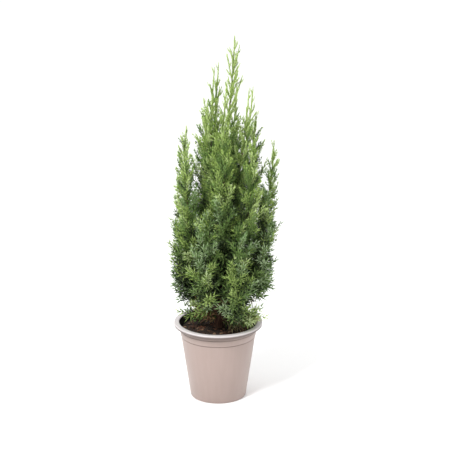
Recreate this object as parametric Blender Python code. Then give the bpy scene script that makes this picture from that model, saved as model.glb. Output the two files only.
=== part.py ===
"""A young columnar juniper in a round plastic nursery pot, at its real size, in metres.

The pot stands on the origin with +Z up, and the plant is looked at from -Y. The trunk rises from
the potting mix and runs up through the crown. Boughs leave it in tiers and turn upwards, and each
bough carries one upright plume of needled shoots. A plume keeps to the space that lies nearer to
its own axis than to any other plume's axis, so the dark seams between the plumes stay open.
"""

import math
import random

import bmesh
import bpy
import numpy as np
from mathutils import Matrix, Vector
from mathutils.bvhtree import BVHTree

# Pot: a rolled lip over a tapered wall that steps in twice, on a foot ring and a raised channel
RIM_RADIUS = 0.065
POT_HEIGHT = 0.115
WALL_TOP_RADIUS = 0.0575
WALL_TAPER = 0.145
WALL = 0.0012
LIP_DEPTH = 0.005
LIP_ROUND = 0.0016
LIP_TURN = 4
STEP_DROPS = (0.0205, 0.0105)
STEP_OUT = 0.0008
STEP_SLOPE = 0.0006
FOOT_EDGE = 0.0015
FOOT_RADIUS = 0.034
CENTRE_RADIUS = 0.016
CHANNEL_RISE = 0.0025
DRAIN_HOLES = 8
DRAIN_CIRCLE = 0.025
DRAIN_RADIUS = 0.0035
DRAIN_SIDES = 10
POT_SIDES = 48
CREASE = math.radians(30.0)

# Potting mix: a low dome with lumps between its edge and the flat round the trunk
CLEARANCE = 0.0003
MIX_DROP = 0.0125
MIX_DOME = 0.0025
MIX_LUMP = 0.0011
MIX_RINGS = (1.0, 0.82, 0.62, 0.42)
MIX_FLAT_RADIUS = 0.011
GROUND = POT_HEIGHT - MIX_DROP + MIX_DOME

# Trunk, measured up from the ground
CROWN_HEIGHT = 0.430
TRUNK_TOP = 0.292
TRUNK_RADIUS = 0.0052
TRUNK_TIP_RADIUS = 0.0014
TRUNK_POWER = 0.85
FLARE = 0.0030
FLARE_HEIGHT = 0.006
FLARE_ROWS = (0.0, 0.003, 0.007, 0.013)
LEAN = 0.050
SWAY = 0.0022
SWAY_PACE = 19.0
SWAY_ACROSS = 0.35
TRUNK_SIDES = 10
TRUNK_ROWS = 11

# Tiers of boughs: name, count, first azimuth, then from the first bough to the last: height on the
# trunk, reach of the plume's axis and height of its tip
TIERS = (
    ("skirt", 4, -36.0, (0.010, 0.022), (0.062, 0.048), (0.034, 0.060)),
    ("low", 8, 67.5, (0.014, 0.046), (0.058, 0.060), (0.158, 0.222)),
    ("mid", 8, -7.5, (0.044, 0.105), (0.064, 0.050), (0.274, 0.328)),
    ("upper", 6, 81.0, (0.120, 0.200), (0.038, 0.026), (0.346, 0.392)),
)
TIER_STRIDE = 5
AZIMUTH_JITTER = 7.0
REACH_JITTER = (0.94, 1.06)
TIP_JITTER = 0.006

# How early a plume's axis runs outwards, and how late it rises
OUT_POWER = {"skirt": 1.2, "low": 3.2, "mid": 2.3, "upper": 2.2, "leader": 1.0}
LATE_RISE = {"skirt": 0.3, "low": 0.8, "mid": 0.5, "upper": 0.5, "leader": 0.0}

BOUGH_RADII = (0.0023, 0.0012)
BOUGH_SCALE = {"skirt": 0.8, "low": 1.0, "mid": 1.0, "upper": 0.8}
BOUGH_SIDES = 5
BOUGH_ROWS = 5
BOUGH_SHARE = 0.21
BOUGH_CLEAR = 1.4
AXIS_STEP = 0.002
LINE_POINTS = 13

# A plume's stem, and its dense heart, which swells round the stem's foot
STEM_RADII = (0.0013, 0.0009)
STEM_SIDES = 5
STEM_ROW = 0.0152
STEM_FOOT = 0.02
STEM_END = 0.96
STEM_TIP = 0.99
HEART = {"skirt": 0.0024, "low": 0.0058, "mid": 0.0055, "upper": 0.0038, "leader": 0.0022}
HEART_START = 0.05

# How fine a plume's sprays are, from its foot to its tip
FINENESS = {
    "skirt": (0.0, 0.2),
    "low": (0.0, 0.45),
    "mid": (0.1, 0.75),
    "upper": (0.5, 1.0),
    "leader": (0.8, 1.0),
}

# Needled shoots on a plume; a pair runs from a coarse shoot to a fine one
SHOOTS = {"skirt": 5, "low": 9, "mid": 9, "upper": 7, "leader": 7}
SHOOT_SPAN = (0.05, 0.93)
SHOOT_LENGTH = (0.038, 0.024)
SHOOT_ANGLE = (52.0, 26.0)
SHOOT_ANGLE_SPREAD = (0.9, 1.1)
SHOOT_RISE = 0.22
TIP_LOSS = 0.55
GOLDEN_ANGLE = 137.508
OUTWARD_BIAS = 0.45
SINK = 0.0034
CORE_RADIUS = (0.0028, 0.0014)
CORE_TAPER = 0.45
WHORLS = 2
WHORL_START = 0.55
WHORL_END = 0.85
NEEDLE_LENGTH = (0.0165, 0.0085)
NEEDLE_ANGLE = (46.0, 26.0)
NEEDLE_TRIES = (1.0, 0.8, 0.6, 0.4)
NEEDLE_PARTS = (0.25, 0.5, 0.75)

# A fork is a longer, steeper shoot, which rises beside its plume's stem
FORK_EVERY = 3
FORK_SPAN = {"mid": (0.25, 0.80), "upper": (0.20, 0.80), "leader": (0.10, 0.75)}
FORK_STRETCH = 1.7
FORK_CLOSING = 0.66

# A shoot that finds no room tries other headings, ever closer to its stem and ever shorter
ATTEMPTS = 30
FIRST_LENGTH = 1.05
LENGTH_LOSS = 0.4
ANGLE_LOSS = 0.45

# What the needles keep clear of
SEAM = 0.0005
NEEDLE_GAP = 0.0014
LIMB_CLEARANCE = 0.0006
SEAT_SPARE = 0.0001
SEAT_STEPS = 60
WALL_MARGIN = 0.004
MIX_MARGIN = 0.0012
RIM_MARGIN = 0.0008
SEED = 11

# Linear base colours
TAUPE = (0.42, 0.35, 0.29)
MIX_BROWN = (0.035, 0.018, 0.011)
BARK_BROWN = (0.13, 0.062, 0.035)
TIER_GREENS = {
    "skirt": (0.16, 0.28, 0.12),
    "low": (0.15, 0.27, 0.095),
    "mid": (0.17, 0.30, 0.080),
    "upper": (0.24, 0.38, 0.12),
    "leader": (0.29, 0.43, 0.16),
}


def mix(pair, share):
    """The value that lies this share of the way from the pair's first to its second."""
    return pair[0] + (pair[1] - pair[0]) * share


def clear_scene():
    for obj in list(bpy.data.objects):
        bpy.data.objects.remove(obj)


def material(name, colour, roughness):
    made = bpy.data.materials.new(name)
    made.use_nodes = True
    shader = made.node_tree.nodes["Principled BSDF"]
    shader.inputs["Base Color"].default_value = (*colour, 1.0)
    shader.inputs["Roughness"].default_value = roughness
    shader.inputs["Metallic"].default_value = 0.0
    made.diffuse_color = (*colour, 1.0)
    return made


def add_object(name, mesh, finish, collection=None):
    obj = bpy.data.objects.new(name, mesh)
    (collection or bpy.context.scene.collection).objects.link(obj)
    mesh.materials.append(finish)
    return obj


def mesh_from(name, points, faces):
    mesh = bpy.data.meshes.new(name)
    mesh.from_pydata([tuple(p) for p in points], [], faces)
    mesh.validate()
    return mesh


def smoothed(mesh):
    """Smooth shading that stays crisp at the real edges."""
    mesh.shade_smooth()
    mesh.set_sharp_from_angle(angle=CREASE)
    return mesh


def turned(name, profile, sides):
    """A closed profile of (radius, height) points spun round Z into one closed body."""
    bm = bmesh.new()
    ring = [bm.verts.new((radius, 0.0, height)) for radius, height in profile]
    edges = [bm.edges.new((a, b)) for a, b in zip(ring, ring[1:] + ring[:1])]
    bmesh.ops.spin(
        bm,
        geom=ring + edges,
        axis=(0, 0, 1),
        cent=(0, 0, 0),
        steps=sides,
        angle=math.tau,
        use_merge=True,
    )
    bmesh.ops.remove_doubles(bm, verts=bm.verts, dist=1e-6)
    bmesh.ops.dissolve_degenerate(bm, edges=bm.edges, dist=1e-6)
    bmesh.ops.recalc_face_normals(bm, faces=bm.faces)
    mesh = bpy.data.meshes.new(name)
    bm.to_mesh(mesh)
    bm.free()
    return mesh


def wall_radius(height):
    """The radius of the pot's outer wall at a height above its underside, under both steps."""
    return WALL_TOP_RADIUS - WALL_TAPER * (POT_HEIGHT - height)


def quarter_round(radius, height, first_turn):
    """Points of a quarter circle, counterclockwise, round a centre at this radius and height."""
    turns = [math.radians(first_turn + 90.0 * i / LIP_TURN) for i in range(LIP_TURN + 1)]
    return [(radius + LIP_ROUND * math.cos(t), height + LIP_ROUND * math.sin(t)) for t in turns]


def pot_profile():
    """The wall's outline, from the middle of the underside out, up, over the lip and down inside."""
    base = [
        (0.0, 0.0),
        (CENTRE_RADIUS, 0.0),
        (CENTRE_RADIUS + CHANNEL_RISE, CHANNEL_RISE),
        (FOOT_RADIUS - CHANNEL_RISE, CHANNEL_RISE),
        (FOOT_RADIUS, 0.0),
        (wall_radius(0.0) - FOOT_EDGE, 0.0),
        (wall_radius(FOOT_EDGE), FOOT_EDGE),
    ]
    wall = []
    for count, drop in enumerate(STEP_DROPS):
        height = POT_HEIGHT - drop
        wall.append((wall_radius(height) + count * STEP_OUT, height))
        wall.append((wall_radius(height) + (count + 1) * STEP_OUT, height + STEP_SLOPE))
    lip_under = POT_HEIGHT - LIP_DEPTH
    neck = wall_radius(lip_under) + len(STEP_DROPS) * STEP_OUT
    lip = [(neck, lip_under), (RIM_RADIUS - STEP_OUT, lip_under), (RIM_RADIUS, lip_under + STEP_OUT)]
    lip += quarter_round(RIM_RADIUS - LIP_ROUND, POT_HEIGHT - LIP_ROUND, 0.0)
    lip += quarter_round(neck - WALL + LIP_ROUND, POT_HEIGHT - LIP_ROUND, 90.0)
    floor = CHANNEL_RISE + WALL
    inside = [
        (neck - WALL, lip_under),
        (wall_radius(POT_HEIGHT - STEP_DROPS[0]) - WALL, POT_HEIGHT - STEP_DROPS[0]),
        (wall_radius(floor) - WALL, floor),
        (0.0, floor),
    ]
    return base + wall + lip + inside


def drain_cutter():
    """One mesh of upright pegs, in a circle, that pierce the raised channel of the base."""
    bm = bmesh.new()
    for hole in range(DRAIN_HOLES):
        turn = Matrix.Rotation(math.tau * (hole + 0.5) / DRAIN_HOLES, 4, "Z")
        place = turn @ Matrix.Translation((DRAIN_CIRCLE, 0.0, CHANNEL_RISE))
        bmesh.ops.create_cone(
            bm,
            cap_ends=True,
            segments=DRAIN_SIDES,
            radius1=DRAIN_RADIUS,
            radius2=DRAIN_RADIUS,
            depth=4 * CHANNEL_RISE,
            matrix=place,
        )
    mesh = bpy.data.meshes.new("drain_cutter")
    bm.to_mesh(mesh)
    bm.free()
    return mesh


def build_pot():
    taupe = material("pot_taupe", TAUPE, 0.45)
    pot = add_object("pot", smoothed(turned("pot", pot_profile(), POT_SIDES)), taupe)
    cutter = add_object("drain_cutter", drain_cutter(), taupe)
    cutter.hide_render = True
    cutter.display_type = "WIRE"
    cut = pot.modifiers.new("drain holes", "BOOLEAN")
    cut.operation = "DIFFERENCE"
    cut.solver = "EXACT"
    cut.object = cutter


def build_mix():
    """The potting mix: it fills the pot, with a low dome and small lumps on top."""
    edge = POT_HEIGHT - MIX_DROP
    floor = CHANNEL_RISE + WALL + CLEARANCE
    rim = wall_radius(edge) - WALL - CLEARANCE
    below = [(0.0, floor), (wall_radius(floor) - WALL - CLEARANCE, floor)]
    below.append((wall_radius(POT_HEIGHT - STEP_DROPS[0]) - WALL - CLEARANCE, POT_HEIGHT - STEP_DROPS[0]))
    top = [(rim * share, edge + MIX_DOME * (1 - share**2)) for share in MIX_RINGS]
    flat = [(MIX_FLAT_RADIUS, GROUND), (0.0, GROUND)]
    mesh = turned("potting_mix", below + top + flat, POT_SIDES)
    rng = random.Random(SEED)
    lumpy = (MIX_FLAT_RADIUS + LIP_ROUND, rim - CLEARANCE)
    for vertex in mesh.vertices:
        if vertex.co.z > edge - CLEARANCE and lumpy[0] < vertex.co.xy.length < lumpy[1]:
            vertex.co.z += MIX_LUMP * rng.uniform(-1.0, 1.0)
    add_object("potting_mix", smoothed(mesh), material("potting_mix", MIX_BROWN, 0.95))


def trunk_point(height):
    """The trunk's axis, and the crown's, at a height above the ground: a slight lean and sway."""
    swing = SWAY * math.sin(height * SWAY_PACE)
    return Vector((LEAN * height + swing, -SWAY_ACROSS * swing, GROUND + height))


def trunk_radius(height):
    taper = mix((TRUNK_RADIUS, TRUNK_TIP_RADIUS), (height / TRUNK_TOP) ** TRUNK_POWER)
    return taper + FLARE * math.exp(-height / FLARE_HEIGHT)


class Plume:
    """One bough and the plume on it, which share an axis from the trunk to the plume's tip."""

    def __init__(self, tier, name, azimuth, start, reach, tip):
        self.tier = tier
        self.name = name
        self.azimuth = math.radians(azimuth)
        self.start = start
        self.reach = reach
        self.tip = tip
        self.foot_share = 0.0 if tier == "leader" else BOUGH_SHARE

    def point(self, share):
        """The axis: a bough leaves the trunk outwards and soon turns up, and a skirt's stays low."""
        out = 1 - (1 - share) ** OUT_POWER[self.tier]
        rise = mix((share, share**2), LATE_RISE[self.tier])
        height = self.start + (self.tip - self.start) * rise
        away = Vector((math.cos(self.azimuth), math.sin(self.azimuth), 0.0)) * self.reach * out
        return trunk_point(height) + away

    def tangent(self, share):
        step = 0.01
        return (self.point(min(share + step, 1.0)) - self.point(max(share - step, 0.0))).normalized()

    def line(self, first, last, count):
        return [self.point(mix((first, last), i / (count - 1))) for i in range(count)]


def clear_share(plume, gap):
    """The share of the axis at which it is this far outside the trunk's skin."""
    share = 0.0
    while True:
        point = plume.point(share)
        height = point.z - GROUND
        if (point - trunk_point(height)).xy.length >= trunk_radius(height) + gap:
            return share
        share += AXIS_STEP


def distances(points, line):
    """The least distance from each point to a line through the given points."""
    p = np.array(points)[:, None, :]
    a, b = np.array(line[:-1])[None], np.array(line[1:])[None]
    along = ((p - a) * (b - a)).sum(2) / ((b - a) ** 2).sum(2)
    nearest = a + np.clip(along, 0.0, 1.0)[..., None] * (b - a)
    return np.linalg.norm(p - nearest, axis=2).min(1)


def crowded(plume, other):
    """Whether two boughs would nearly touch outside the trunk."""
    own, theirs = (p.line(clear_share(p, 0.0), BOUGH_SHARE, LINE_POINTS) for p in (plume, other))
    return distances(own, theirs).min() < 2 * BOUGH_RADII[0] + LIMB_CLEARANCE


def plan_plumes():
    """All plumes: each tier spreads its boughs round the trunk, and the leader tops the trunk.

    A bough that would crowd another leaves the trunk a little higher up.
    """
    rng = random.Random(SEED)
    found = []
    for tier, count, first_azimuth, starts, reaches, tips in TIERS:
        for index in range(count):
            share = (index * TIER_STRIDE % count) / (count - 1)
            azimuth = first_azimuth + 360.0 * index / count
            azimuth += rng.uniform(-AZIMUTH_JITTER, AZIMUTH_JITTER)
            reach = mix(reaches, share) * rng.uniform(*REACH_JITTER)
            tip = mix(tips, share) + rng.uniform(-TIP_JITTER, TIP_JITTER)
            plume = Plume(tier, f"{tier}_{index + 1}", azimuth, mix(starts, share), reach, tip)
            while any(crowded(plume, other) for other in found):
                plume.start += AXIS_STEP
            found.append(plume)
    found.append(Plume("leader", "leader", 0.0, TRUNK_TOP, 0.0, CROWN_HEIGHT))
    return found


def frame_round(direction):
    """Two unit vectors across a direction."""
    side = direction.cross(Vector((0.0, 0.0, 1.0)))
    if side.length < 0.05:
        side = direction.cross(Vector((0.0, 1.0, 0.0)))
    side.normalize()
    return side, direction.cross(side).normalized()


def tube(points, radii, sides, seat=None):
    """A tapering limb through the points. seat moves the first ring, to lie against a neighbour."""
    across = frame_round((points[1] - points[0]).normalized())[0]
    rings = []
    for index, (point, radius) in enumerate(zip(points, radii)):
        before, after = points[max(index - 1, 0)], points[min(index + 1, len(points) - 1)]
        along = (after - before).normalized()
        across = (across - along * across.dot(along)).normalized()
        up = along.cross(across)
        ring = []
        for side in range(sides):
            turn = math.tau * side / sides
            place = point + (across * math.cos(turn) + up * math.sin(turn)) * radius
            ring.append(seat(place, along) if seat and index == 0 else place)
        rings.append(ring)
    vertices = [place for ring in rings for place in ring]
    faces = []
    for row in range(len(rings) - 1):
        for side in range(sides):
            a, b = row * sides + side, row * sides + (side + 1) % sides
            faces.append((a, b, b + sides, a + sides))
    faces.append(tuple(range(len(vertices) - sides, len(vertices))))
    if seat:
        faces += [((side + 1) % sides, side, len(vertices)) for side in range(sides)]
        vertices.append(seat(points[0], (points[1] - points[0]).normalized()))
    else:
        faces.append(tuple(range(sides))[::-1])
    return vertices, faces


def build_trunk(bark):
    flared = FLARE_ROWS[-1]
    heights = list(FLARE_ROWS)
    heights += [mix((flared, TRUNK_TOP), row / TRUNK_ROWS) for row in range(1, TRUNK_ROWS + 1)]
    points = [trunk_point(height) + Vector((0, 0, CLEARANCE)) for height in heights]
    radii = [trunk_radius(height) for height in heights]
    vertices, faces = tube(points, radii, TRUNK_SIDES)
    for vertex in vertices[:TRUNK_SIDES]:
        vertex.z = GROUND + CLEARANCE
    add_object("trunk", smoothed(mesh_from("trunk", vertices, faces)), bark)
    return vertices, faces


def bough_tube(plume, trunk, extra=0.0):
    """The bough's mesh, from the trunk's skin to the foot of its plume. extra thickens it all over."""

    def seat(place, along):
        for _ in range(SEAT_STEPS):
            nearest, normal = trunk.find_nearest(place)[:2]
            short = CLEARANCE + SEAT_SPARE - (place - nearest).dot(normal)
            if short <= 0.0:
                break
            place = place + along * (short + 1e-6)
        return place

    foot = clear_share(plume, 0.0)
    clear = clear_share(plume, BOUGH_RADII[0] * BOUGH_CLEAR)
    points = [plume.point(foot)] + plume.line(clear, plume.foot_share, BOUGH_ROWS)
    scale = BOUGH_SCALE[plume.tier]
    radii = [mix(BOUGH_RADII, i / BOUGH_ROWS) * scale + extra for i in range(BOUGH_ROWS + 1)]
    return tube(points, radii, BOUGH_SIDES, seat)


def build_limbs(plumes, bark):
    """The trunk and the boughs, and one tree of all limbs, thickened, for what must clear them."""
    points, faces = build_trunk(bark)
    trunk = BVHTree.FromPolygons(points, faces)
    for plume in plumes:
        if plume.tier == "leader":
            continue
        bough_points, bough_faces = bough_tube(plume, trunk)
        mesh = smoothed(mesh_from("bough", bough_points, bough_faces))
        add_object(f"bough_{plume.name}", mesh, bark)
        guard_points, guard_faces = bough_tube(plume, trunk, LIMB_CLEARANCE)
        faces = faces + [tuple(v + len(points) for v in face) for face in guard_faces]
        points = points + guard_points
    return BVHTree.FromPolygons(points, faces)


def toothed_rings(points, radii, sides, turn):
    """Rings of corners along a curved limb. Each ring is turned by half a side against the last."""
    across = frame_round((points[1] - points[0]).normalized())[0]
    rings = []
    for index, (point, radius) in enumerate(zip(points, radii)):
        before, after = points[max(index - 1, 0)], points[min(index + 1, len(points) - 1)]
        along = (after - before).normalized()
        across = (across - along * across.dot(along)).normalized()
        up = along.cross(across)
        angles = [turn + (index / 2 + k) * math.tau / sides for k in range(sides)]
        rings.append([point + (across * math.cos(a) + up * math.sin(a)) * radius for a in angles])
    return rings


def toothed_limb(points, radii, sides, turn, base, tip, needle):
    """A limb closed by a flat base or a point. Every second face between its rings can be a needle.

    needle(row, middle, out, along) gives the place of the needle's tip, or None where there is none.
    """
    rings = toothed_rings(points, radii, sides, turn)
    vertices = [place for ring in rings for place in ring]
    last = len(vertices) - sides
    top = len(vertices)
    vertices.append(tip)
    faces = [(last + k, last + (k + 1) % sides, top) for k in range(sides)]
    if base is None:
        faces.append(tuple(range(sides))[::-1])
    else:
        faces += [((k + 1) % sides, k, top + 1) for k in range(sides)]
        vertices.append(base)
    needles = []
    for row in range(len(rings) - 1):
        along = (points[row + 1] - points[row]).normalized()
        for k in range(sides):
            a, b = row * sides + k, row * sides + (k + 1) % sides
            c, d = a + sides, (row + 1) * sides + (k - 1) % sides
            faces.append((a, c, d))
            middle = (vertices[a] + vertices[b] + vertices[c]) / 3
            out = middle - points[row]
            out = (out - along * out.dot(along)).normalized()
            point = needle(row, middle, out, along)
            if point is None:
                faces.append((a, b, c))
                continue
            end = len(vertices)
            vertices.append(point)
            needles.append((middle, point))
            faces += [(a, b, end), (b, c, end), (c, a, end)]
    return vertices, faces, needles


def needled_shoot(start, heading, length, fineness, turn):
    """A slim three-sided core, curving up, that whorls of three needles stand out of."""
    core = mix(CORE_RADIUS, fineness)
    needle_length = mix(NEEDLE_LENGTH, fineness)
    needle_angle = math.radians(mix(NEEDLE_ANGLE, fineness))
    rise = Vector((0.0, 0.0, SHOOT_RISE * length))

    def place(share):
        return start + heading * length * share + rise * share**2

    def needle(row, middle, out, along):
        return middle + (along * math.cos(needle_angle) + out * math.sin(needle_angle)) * needle_length

    rows = WHORLS + WHORL_START + WHORL_END
    shares = [(row + WHORL_START) / rows for row in range(WHORLS + 1)]
    radii = [core * (1.0 - CORE_TAPER * share) for share in shares]
    points = [place(share) for share in shares]
    return toothed_limb(points, radii, 3, turn, start, place(1.0), needle)


def outward_frame(plume, along):
    """Two unit vectors across a plume's axis. The first points away from the trunk."""
    point, tangent = plume.point(along), plume.tangent(along)
    away = point - trunk_point(point.z - GROUND)
    if away.length < AXIS_STEP:
        away = Vector((1.0, 0.0, 0.0))
    side = (away - tangent * away.dot(tangent)).normalized()
    return side, tangent.cross(side)


def forks_at(plume, share):
    """Whether a shoot at this share may be a fork."""
    low, high = FORK_SPAN.get(plume.tier, (1.0, 0.0))
    return low < share < high


def plan_shoots(plume, heart):
    """The shoots on a plume by a seeded rule, each with the starts, headings and lengths to try."""
    rng = random.Random(f"{SEED} {plume.name}")
    count = SHOOTS[plume.tier]
    turn = rng.uniform(0.0, 360.0)
    span = (plume.foot_share + SHOOT_SPAN[0], SHOOT_SPAN[1])
    found = []
    for index in range(count):
        share = (index + 0.5) / count
        along = mix(span, share)
        fineness = mix(FINENESS[plume.tier], share)
        turn += GOLDEN_ANGLE
        point, tangent = plume.point(along), plume.tangent(along)
        side, up = outward_frame(plume, along)
        fork = index % FORK_EVERY == 1 and forks_at(plume, share)
        choices = []
        for attempt in range(ATTEMPTS):
            worse = attempt / ATTEMPTS
            opening = rng.uniform(*SHOOT_ANGLE_SPREAD) - ANGLE_LOSS * worse
            angle = math.radians(mix(SHOOT_ANGLE, fineness) * opening)
            angle *= FORK_CLOSING if fork else 1.0
            swing = math.radians(turn + worse * rng.uniform(-180.0, 180.0))
            swing -= OUTWARD_BIAS * math.sin(swing)
            out = side * math.cos(swing) + up * math.sin(swing)
            heading = (tangent * math.cos(angle) + out * math.sin(angle)).normalized()
            start = point + out * max(heart(along) - SINK, 0.0)
            length = mix(SHOOT_LENGTH, fineness) * (FIRST_LENGTH - LENGTH_LOSS * worse)
            length *= 1.0 - TIP_LOSS * share**3
            length *= FORK_STRETCH if fork else 1.0
            choices.append((start, heading, length))
        found.append((fineness, choices, rng.uniform(0.0, math.tau)))
    return found


def room(points, plume, lines):
    """How much nearer each point is to this plume's axis than to any other's."""
    others = [distances(points, line) for name, line in lines.items() if name != plume.name]
    return np.min(others, axis=0) - distances(points, lines[plume.name])


def clears_pot(points):
    """Above the rim, or inside it and above the potting mix."""
    inner = wall_radius(GROUND) - WALL_MARGIN
    over_rim = POT_HEIGHT + RIM_MARGIN
    over_mix = GROUND + MIX_LUMP + MIX_MARGIN
    return all(p.z > over_rim or (p.xy.length < inner and p.z > over_mix) for p in points)


def along_needles(vertices, needles):
    """Points all over a shoot: its corners, and places along each needle."""
    places = list(vertices)
    for root, tip in needles:
        places += [root.lerp(tip, part) for part in NEEDLE_PARTS]
    return places


def stem_shape(plume, lines, limbs):
    """Shares, points and radii along a stem: its dense heart swells as far as its space allows."""
    first = plume.foot_share
    fine_line = plume.line(first, STEM_END, 2 * LINE_POINTS)
    length = sum((b - a).length for a, b in zip(fine_line, fine_line[1:]))
    rows = round(length / STEM_ROW)
    shares = [first] + [mix((first + STEM_FOOT, STEM_END), i / rows) for i in range(rows + 1)]
    points = [plume.point(share) for share in shares]
    points[0] = points[0] + (points[1] - points[0]).normalized() * CLEARANCE
    others = [line for name, line in lines.items() if name != plume.name]
    radii = []
    for index, (point, share) in enumerate(zip(points, shares)):
        up_stem = (share - first) / (1 - first)
        stem = mix(STEM_RADII, up_stem)
        swell = (1.0 - up_stem**2) if index > 1 else 0.0
        near = min(distances([point], line)[0] for line in others) / 2 - 2 * SEAM
        to_limb = limbs.find_nearest(point)[3] - LIMB_CLEARANCE
        radii.append(max(stem, min(stem + (HEART[plume.tier] - stem) * swell, near, to_limb)))
    return shares, points, radii


def needled_stem(plume, shape, lines, limbs, shoots):
    """The stem's mesh, set with needles wherever one clears the shoots, the limbs and its space."""
    shares, points, radii = shape
    first = plume.foot_share

    def needle(row, middle, out, along):
        if shares[row] < first + HEART_START:
            return None
        fineness = mix(FINENESS[plume.tier], (shares[row] - first) / (1 - first))
        angle = math.radians(mix(NEEDLE_ANGLE, fineness))
        heading = along * math.cos(angle) + out * math.sin(angle)
        for shorter in NEEDLE_TRIES:
            tip = middle + heading * mix(NEEDLE_LENGTH, fineness) * shorter
            beyond = [middle.lerp(tip, part) for part in NEEDLE_PARTS] + [tip]
            gap = min(tree.find_nearest(place)[3] for place in beyond for tree in (limbs, shoots))
            gap = min(gap, shoots.find_nearest(middle)[3])
            if gap > NEEDLE_GAP and clears_pot(beyond) and room(beyond, plume, lines).min() > 2 * SEAM:
                return tip
        return None

    return toothed_limb(points, radii, STEM_SIDES, 0.0, None, plume.point(STEM_TIP), needle)


def place_shoots(plume, shape, lines, limbs):
    """The shoots that find room: each takes the first choice that touches nothing, or is skipped."""
    shares, _, radii = shape
    placed_points, placed_faces, shoots = [], [], []
    tree = None
    for fineness, choices, turn in plan_shoots(plume, lambda share: np.interp(share, shares, radii)):
        for start, heading, length in choices:
            vertices, faces, needles = needled_shoot(start, heading, length, fineness, turn)
            places = along_needles(vertices, needles)
            outside = [p for p in places if (p - start).length > SINK]
            if not clears_pot(places) or room(outside, plume, lines).min() < 2 * SEAM:
                continue
            shoot = BVHTree.FromPolygons(vertices, faces)
            if shoot.overlap(limbs) or (tree and shoot.overlap(tree)):
                continue
            shoots.append((vertices, faces))
            offset = len(placed_points)
            placed_points += vertices
            placed_faces += [tuple(v + offset for v in face) for face in faces]
            tree = BVHTree.FromPolygons(placed_points, placed_faces)
            break
    return shoots, tree


def keep_main_body(mesh):
    """Drops what the union left loose, and fills a hollow it sealed: only the outer skin stays."""
    bm = bmesh.new()
    bm.from_mesh(mesh)
    left = set(bm.faces)
    bodies = []
    while left:
        body, ahead = set(), [left.pop()]
        while ahead:
            face = ahead.pop()
            body.add(face)
            beside = {other for edge in face.edges for other in edge.link_faces} & left
            left -= beside
            ahead += beside
        bodies.append(body)
    bodies.sort(key=len)
    for body in bodies[:-1]:
        bmesh.ops.delete(bm, geom=list(body), context="FACES")
    bm.to_mesh(mesh)
    bm.free()


def joined(body, parts):
    """The mesh of a body and a collection's objects, joined by one union. The objects are removed."""
    union = body.modifiers.new("union of shoots", "BOOLEAN")
    union.operation = "UNION"
    union.operand_type = "COLLECTION"
    union.collection = parts
    union.solver = "EXACT"
    bpy.context.view_layer.update()
    graph = bpy.context.evaluated_depsgraph_get()
    mesh = bpy.data.meshes.new_from_object(body.evaluated_get(graph))
    body.modifiers.clear()
    for shoot in list(parts.objects):
        bpy.data.objects.remove(shoot)
    bpy.data.collections.remove(parts)
    return mesh


def build_plume(plume, lines, limbs, finish):
    """The plume's stem and its needled shoots, joined into one closed body."""
    shape = stem_shape(plume, lines, limbs)
    shoots, tree = place_shoots(plume, shape, lines, limbs)
    stem_vertices, stem_faces, _ = needled_stem(plume, shape, lines, limbs, tree)
    parts = bpy.data.collections.new(f"{plume.name}_shoots")
    bpy.context.scene.collection.children.link(parts)
    for vertices, faces in shoots:
        add_object(f"{plume.name}_shoot", mesh_from("shoot", vertices, faces), finish, parts)
    body = add_object(plume.name, mesh_from(plume.name, stem_vertices, stem_faces), finish)
    body.data = joined(body, parts)
    keep_main_body(body.data)
    triangles = sum(len(face.vertices) - 2 for face in body.data.polygons)
    skipped = SHOOTS[plume.tier] - len(shoots)
    print(f"{plume.name}: {len(shoots)} shoots, {skipped} skipped, {triangles} triangles")
    return triangles


def main():
    clear_scene()
    build_pot()
    build_mix()
    bark = material("bark", BARK_BROWN, 0.85)
    greens = {tier: material(f"foliage_{tier}", colour, 0.55) for tier, colour in TIER_GREENS.items()}
    plumes = plan_plumes()
    limbs = build_limbs(plumes, bark)
    lines = {plume.name: plume.line(plume.foot_share, 1.0, LINE_POINTS) for plume in plumes}
    triangles = sum(build_plume(plume, lines, limbs, greens[plume.tier]) for plume in plumes)
    print(f"{triangles} triangles of foliage")


main()
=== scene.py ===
# %% [markdown]
# # A young columnar juniper in a nursery pot
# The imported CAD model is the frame: every piece below takes its place and its size from it. The
# plant is grown again here by the same seeded rule that made the CAD solids, and the rule is
# carried on to finer twigs and to single needles, inside the same reach. The pot and the potting
# mix are modelled afresh, with the detail that the plain solids leave out.

import math
import random

import bpy
import numpy as np
from mathutils import Euler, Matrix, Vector, noise
from mathutils.bvhtree import BVHTree


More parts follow.
